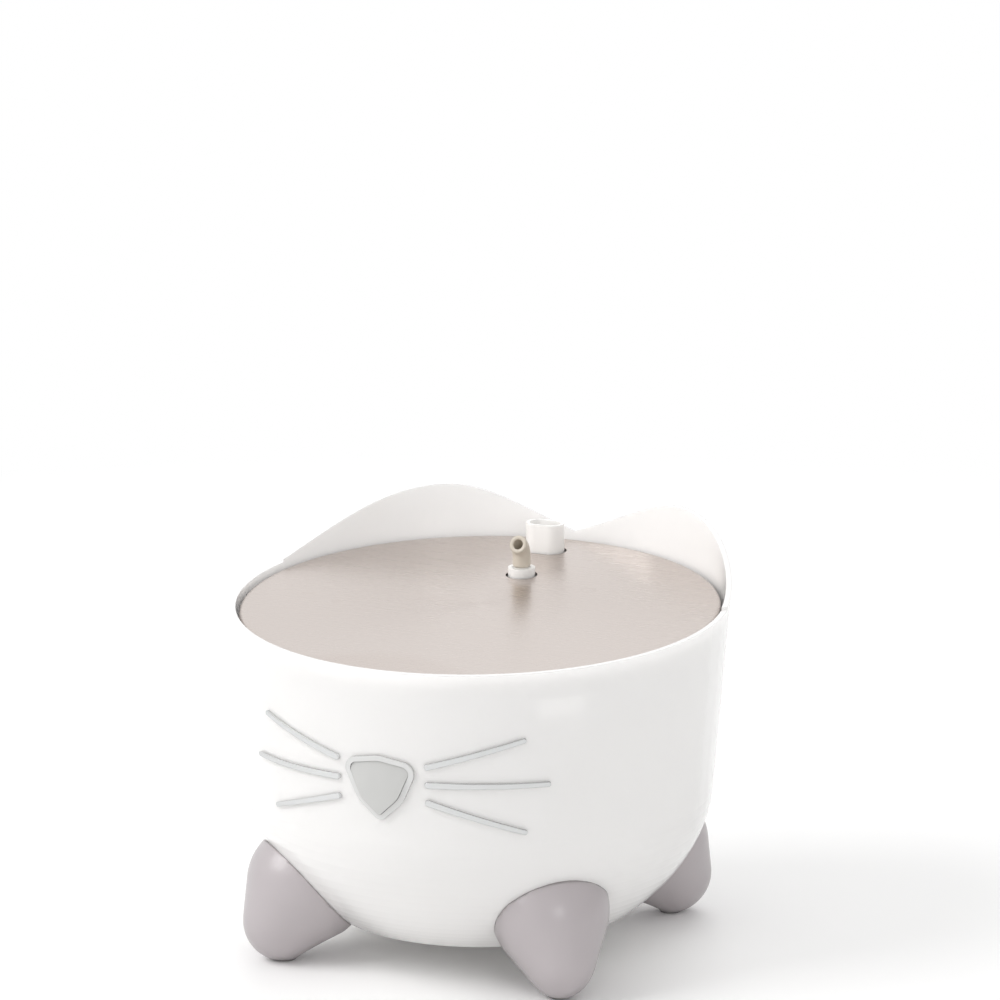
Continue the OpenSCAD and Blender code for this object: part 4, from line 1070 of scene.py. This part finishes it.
@dataclass
class SteelTop:
    """The pressed drinking top: a leaning sheet disc with a turned-down skirt, a dip and two holes.

    It is worked out in its own plane, where it lies level, and then leant by the tilt. The sheet's upper and
    lower skins are alike, the lower one a sheet's thickness inside, and bands close them at the edges.
    """

    radius: float = 104.66
    height: float = 150.5
    tilt: float = 2.5
    sheet: float = 0.8
    skirt: float = 8.0
    bend: float = 2.0
    dip_half: float = 46.0
    dip_depth: float = 2.2
    dip_pitch: float = 5.0
    dip_corner: float = 0.16
    arch: float = 3.0
    spout_at: tuple[float, float] = (0.0, 46.0)
    spout_hole: float = 14.0
    tower_at: tuple[float, float] = (-5.0, 84.5)
    tower_hole: tuple[float, float] = (19.6, 13.6)
    around: int = 288
    spacing: float = 3.0

    def dip(self, x: np.ndarray, y: np.ndarray) -> np.ndarray:
        """How deep the sheet lies below its plane at a place.

        The bare dip is depth - (y + radius) tan(pitch) - x squared / (2 big), with big so that it is dip_half
        wide at the edge. Where that is negative the sheet is level, and a soft corner joins both:
        dip_corner log(1 + exp(bare / dip_corner)).

        Args:
            x: Places across, in millimetres.
            y: Places along, in millimetres.

        Returns:
            The depths in millimetres.
        """
        big = self.dip_half**2 / (2.0 * self.dip_depth)
        slope = math.tan(math.radians(self.dip_pitch))
        bare = self.dip_depth - (y + self.radius) * slope - x**2 / (2.0 * big)
        return self.dip_corner * np.logaddexp(0.0, bare / self.dip_corner)

    def holes(self, grow: float) -> list[np.ndarray]:
        """The outlines of both holes: a circle, and a slot of two half circles.

        Args:
            grow: How much larger than the real hole the outline is.

        Returns:
            The outlines, each as rows of x and y.
        """
        a = np.linspace(0.0, 2.0 * math.pi, 48, endpoint=False)
        ring = np.column_stack([np.cos(a), np.sin(a)])
        lean = 1.0 / math.cos(math.radians(self.tilt))
        wide, deep = self.tower_hole
        spread = np.column_stack([np.sign(ring[:, 0]) * (wide - deep) / 2.0, np.zeros(len(a))])
        circle = ring * (self.spout_hole / 2.0 + grow) + np.array(self.spout_at) * (1.0, lean)
        slot = ring * (deep / 2.0 + grow) + spread + np.array(self.tower_at) * (1.0, lean)
        return [circle, slot]

    def sheet_points(self) -> tuple[np.ndarray, list[int]]:
        """Spreads points over the level part: the edge's ring, both holes' outlines, then rings of points.

        Returns:
            The points as rows of x and y, and the number of points of each outline, the edge first.
        """
        a = np.linspace(0.0, 2.0 * math.pi, self.around, endpoint=False)
        edge = np.column_stack([np.cos(a), np.sin(a)]) * (self.radius - self.bend)
        outlines = [edge, *self.holes(0.0)]
        radii = np.arange(self.spacing, self.radius - self.bend - 1.0, self.spacing)
        counts = [7 * k + 6 for k in range(1, len(radii) + 1)]
        angles = [np.linspace(0.0, 2.0 * math.pi, count, endpoint=False) for count in counts]
        inner = np.vstack([np.column_stack([np.cos(t), np.sin(t)]) * r for r, t in zip(radii, angles)])
        clear = np.ones(len(inner), bool)
        for outline in self.holes(1.0):
            clear &= ~self.inside(inner, outline)
        return np.vstack([*outlines, inner[clear]]), [len(o) for o in outlines]

    @staticmethod
    def inside(points: np.ndarray, outline: np.ndarray) -> np.ndarray:
        """Tells which points lie in a convex outline that runs counter-clockwise.

        A point is inside if it is left of every edge: the cross product of edge and offset is positive.

        Args:
            points: Rows of x and y.
            outline: Rows of x and y.

        Returns:
            True where a point is inside.
        """
        edge = np.roll(outline, -1, axis=0) - outline
        keep = np.linalg.norm(edge, axis=1) > 1e-9
        offset = points[:, None, :] - outline[None, keep, :]
        cross = edge[None, keep, 0] * offset[..., 1] - edge[None, keep, 1] * offset[..., 0]
        return np.all(cross > 0.0, axis=1)

    def skins(self, flat: np.ndarray) -> tuple[np.ndarray, np.ndarray]:
        """Works out one skin's bend and skirt rings, and the level part at its height.

        Args:
            flat: The level part's points.

        Returns:
            Upper and lower skin, each as rows of x, y and z: the level part first, then four rings.
        """
        a = np.linspace(0.0, 2.0 * math.pi, self.around, endpoint=False)
        out = []
        for inset in (0.0, self.sheet):
            turn = self.bend - inset
            arc = np.radians(np.linspace(75.0, 0.0, 6))
            reach = np.r_[self.radius - self.bend + turn * np.cos(arc), self.radius - inset]
            fall = np.r_[-self.bend + turn * np.sin(arc), -self.skirt]
            x, y = np.outer(reach, np.cos(a)), np.outer(reach, np.sin(a))
            z = fall[:, None] - self.dip(x, y)
            lift = self.arch - x[-1] ** 2 * 2.0 * self.arch / (2.0 * self.dip_half**2)
            z[-1] = -self.skirt + np.where(y[-1] < 0.0, np.maximum(lift, 0.0), 0.0)
            level = np.column_stack([flat, -inset - self.dip(flat[:, 0], flat[:, 1])])
            out.append(np.vstack([level, np.stack([x, y, z], axis=-1).reshape(-1, 3)]))
        return out[0], out[1]

    def build(self, paint: Paint) -> None:
        """Joins both skins into one closed sheet, leans it and dresses it.

        Args:
            paint: The paint that dresses it.
        """
        flat, counts = self.sheet_points()
        starts = np.cumsum([0, *counts])
        spans = [np.arange(start, end) for start, end in zip(starts, starts[1:])]
        rims = [np.column_stack([span, np.roll(span, -1)]).tolist() for span in spans]
        found = delaunay_2d_cdt([Vector(p) for p in flat], [e for rim in rims for e in rim], [], 0, 1e-7)
        places = np.array([v[:] for v in found[0]])
        triangles = np.array([f for f in found[2] if len(f) == 3])
        middle = places[triangles].mean(axis=1)
        kept = ~(self.inside(middle, self.holes(0.0)[0]) | self.inside(middle, self.holes(0.0)[1]))
        triangles = triangles[kept]
        upper, lower = self.skins(places)
        count, ring = len(places), self.around
        rings = (len(upper) - count) // ring
        edge = np.arange(ring)
        skirt = Surface.faces(rings, ring, offset=count)
        after = np.roll(edge, -1)
        joint = np.column_stack([edge, after, count + after, count + edge])
        last, below = count + (rings - 1) * ring, len(upper)
        foot = np.column_stack([last + edge, last + after, last + after + below, last + edge + below])
        walls = [np.column_stack([np.array(rim)[:, ::-1], np.array(rim) + below]) for rim in rims[1:]]
        inside = [part[:, ::-1] + below for part in (skirt, joint)]
        quads = np.vstack([skirt, joint, foot, *walls, *inside])
        caps = triangles.tolist() + (triangles[:, ::-1] + below).tolist()
        turn = np.array(Matrix.Rotation(math.radians(self.tilt), 3, "X"))
        points = (np.vstack([upper, lower]) @ turn.T + (0.0, 0.0, self.height)) * MM
        lid = Surface.mesh("pressed_top", points, quads, caps)
        Surface.tidy(lid, 35.0)
        paint.dress(lid, STEEL)
        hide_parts("steel_top")
        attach(lid, "top")


# ---- Spout --------------------------------------------------------------------------------------


@dataclass
class SpoutElbow:
    """The soft elbow on the spout's stem: a short rise, then a bend forward to a rolled lip."""

    outer: float = 4.0
    bore: float = 2.2
    rise: float = 4.4
    bend_radius: float = 6.8
    bend: float = 68.0
    lip: float = 0.7
    sides: int = 40

    def build(self, paint: Paint) -> None:
        """Carries a closed profile of skin, lip and bore along the rise and the bend.

        The centre line goes straight up, then turns forward on an arc. The outer skin is carried to the
        end, goes over the lip on a quarter circle, and comes back down inside as the bore.

        Args:
            paint: The paint that dresses it.
        """
        low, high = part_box("spout_elbow")
        axis_y = high.y - self.outer * MM
        arc = np.radians(np.linspace(0.0, self.bend, 26))
        up = np.linspace(0.0, self.rise, 8)[:-1]
        y = np.r_[np.zeros(len(up)), -self.bend_radius * (1.0 - np.cos(arc))]
        z = np.r_[up, self.rise + self.bend_radius * np.sin(arc)]
        line = np.column_stack([np.full(len(y), (low.x + high.x) / 2), axis_y + y * MM, low.z + z * MM])
        out_radii = np.full(len(line), self.outer)
        out_radii[:2] = (self.outer - 0.25, self.outer - 0.06)
        q = np.radians(np.linspace(0.0, 90.0, 7))[1:]
        end, heading = line[-1], (line[-1] - line[-2]) / np.linalg.norm(line[-1] - line[-2])
        skin = line[:-1]
        lip_line = end + heading[None, :] * ((np.sin(q) - 1.0) * self.lip * MM)[:, None]
        lip_radii = self.outer - self.lip * (1.0 - np.cos(q))
        inside = line[::-1]
        path = np.vstack([skin, lip_line, end[None, :], inside[1:]])
        radii = np.r_[out_radii[:-1], lip_radii, [self.bore + 0.25], np.full(len(inside) - 1, self.bore)]
        _, first, second = Surface.carried_frames(np.vstack([line, end + heading * MM]))
        tip = np.full(len(q) + 1, len(line) - 1)
        index = np.r_[np.arange(len(skin)), tip, np.arange(len(line) - 2, -1, -1)]
        a = np.linspace(0.0, 2.0 * math.pi, self.sides, endpoint=False)[None, :, None]
        ring = np.cos(a) * first[index][:, None, :] + np.sin(a) * second[index][:, None, :]
        points = path[:, None, :] + (radii * MM)[:, None, None] * ring
        elbow = Surface.mesh("elbow_skin", points, Surface.faces(len(path), self.sides, closed_rows=True))
        paint.dress(elbow, ELBOW_BEIGE)
        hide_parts("spout_elbow")
        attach(elbow, "elbow")


# ---- Feet ---------------------------------------------------------------------------------------


@dataclass
class PawFeet:
    """The four paws, drawn in toward their toes so that each ends in a slim rounded tip."""

    sides: float = 0.24
    sides_end: float = 44.0
    inner: float = 0.36
    inner_end: float = 12.0
    seat: float = 4.95
    pad_height: float = 2.5
    sole: float = 1.5

    def draw_in(self, out: np.ndarray, aside: np.ndarray, z: np.ndarray) -> tuple[np.ndarray, np.ndarray]:
        """Draws a paw's places in toward its toe.

        Aside is multiplied by 1 - sides (1 - z / sides_end), and out, where it points to the bowl, by
        1 - inner (1 - z / inner_end), each held at 1 or less. The seat of the rubber pad keeps its size,
        and nothing that lies round the seat is drawn inside it.

        Args:
            out: How far each place lies outward of the toe, in millimetres.
            aside: How far it lies beside the toe.
            z: Its height.

        Returns:
            The new distances outward and aside.
        """
        slim = 1.0 - self.sides * np.clip(1.0 - z / self.sides_end, 0.0, 1.0)
        tuck = 1.0 - self.inner * np.clip(1.0 - z / self.inner_end, 0.0, 1.0) * (out < 0.0)
        near = np.hypot(out * tuck, aside * slim)
        around_pad = z < self.pad_height
        keep = np.where(around_pad, np.maximum(1.0, self.seat / np.maximum(near, 1e-6)), 1.0)
        fixed = (np.hypot(out, aside) < self.seat - 0.2) & around_pad
        return np.where(fixed, out, out * tuck * keep), np.where(fixed, aside, aside * slim * keep)

    def build(self, paint: Paint, nodes: Nodes) -> None:
        """Makes each paw's skin from a copy of its solid, moved in polar places about the bowl's axis.

        The seam on the round bowl slides along it and stays closed.

        Args:
            paint: The paint that dresses them.
            nodes: The CAD nodes.
        """
        for name in sorted(n for n in nodes if n.startswith("foot_") and n != "foot_pads"):
            mesh = nodes[name].data.copy()
            work = bmesh.new()
            work.from_mesh(mesh)
            bmesh.ops.remove_doubles(work, verts=work.verts, dist=1e-6)
            work.to_mesh(mesh)
            work.free()
            place = np.empty(len(mesh.vertices) * 3)
            mesh.vertices.foreach_get("co", place)
            place = place.reshape(-1, 3) / MM
            low = place[place[:, 2] < place[:, 2].min() + self.sole]
            toe = (low.min(axis=0) + low.max(axis=0)) / 2.0
            middle, reach = math.atan2(toe[1], toe[0]), math.hypot(toe[0], toe[1])
            r, z = np.hypot(place[:, 0], place[:, 1]), place[:, 2]
            a = np.angle(np.exp(1j * (np.arctan2(place[:, 1], place[:, 0]) - middle)))
            out, aside = self.draw_in(r - reach, a * reach, z)
            r, a = reach + out, middle + aside / reach
            moved = np.column_stack([r * np.cos(a), r * np.sin(a), z]) * MM
            mesh.vertices.foreach_set("co", moved.ravel())
            paw = bpy.data.objects.new(name.replace("foot", "paw"), mesh)
            bpy.context.scene.collection.objects.link(paw)
            mesh.shade_smooth()
            Surface.tidy(paw, 40.0)
            paint.dress(paw, PAW_MAUVE)
            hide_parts(name)
            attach(paw, "bowl")


# ---- Pump ---------------------------------------------------------------------------------------


@dataclass
class StrainRelief:
    """The soft ribbed sleeve where the cord leaves the pump: it narrows outward in six ribs."""

    length: float = 11.0
    root: float = 2.9
    tip: float = 2.35
    rib: float = 0.28
    ribs: int = 6
    sides: int = 24

    def build(self, paint: Paint, path: np.ndarray) -> None:
        """Makes the sleeve along the cord's first stretch: radius = a line from root to tip, plus ribs.

        Args:
            paint: The paint that dresses it.
            path: The cord's path.
        """
        run = np.r_[0.0, np.cumsum(np.linalg.norm(np.diff(path[:40], axis=0), axis=1))] / MM
        t = np.linspace(0.0, self.length, 64)
        line = np.column_stack([np.interp(t, run, path[:40, k]) for k in range(3)])
        ribs = np.maximum(0.0, np.sin(2 * math.pi * self.ribs * t / self.length)) ** 0.6
        radii = self.root + (self.tip - self.root) * t / self.length + self.rib * ribs
        sleeve = Surface.tube("cord_sleeve", line, radii * MM, self.sides)
        paint.dress(sleeve, CORD_GREY)
        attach(sleeve, "pump")


def dress_frame(paint: Paint, frame: dict) -> None:
    """Puts the finish of its record's slot on every CAD node.

    Args:
        paint: The paint.
    """
    for part in frame["record"]["subparts"]:
        paint.dress(frame["nodes"][part["node"]], SLOTS[part["material_slot"]])


def main() -> None:
    """Loads the frame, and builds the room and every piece."""
    logging.basicConfig(level=logging.INFO, format="%(name)s %(message)s")
    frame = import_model()
    studio = Studio()
    studio.camera()
    paint = Paint()
    cord = SupplyCord()
    cord.build(paint, frame["nodes"])
    studio.build()
    dress_frame(paint, frame)
    StrainRelief().build(paint, cord.path)
    FilterPouches().build(paint)
    SpoutElbow().build(paint)
    SteelTop().build(paint)
    PawFeet().build(paint, frame["nodes"])


if __name__ == "__main__":
    main()
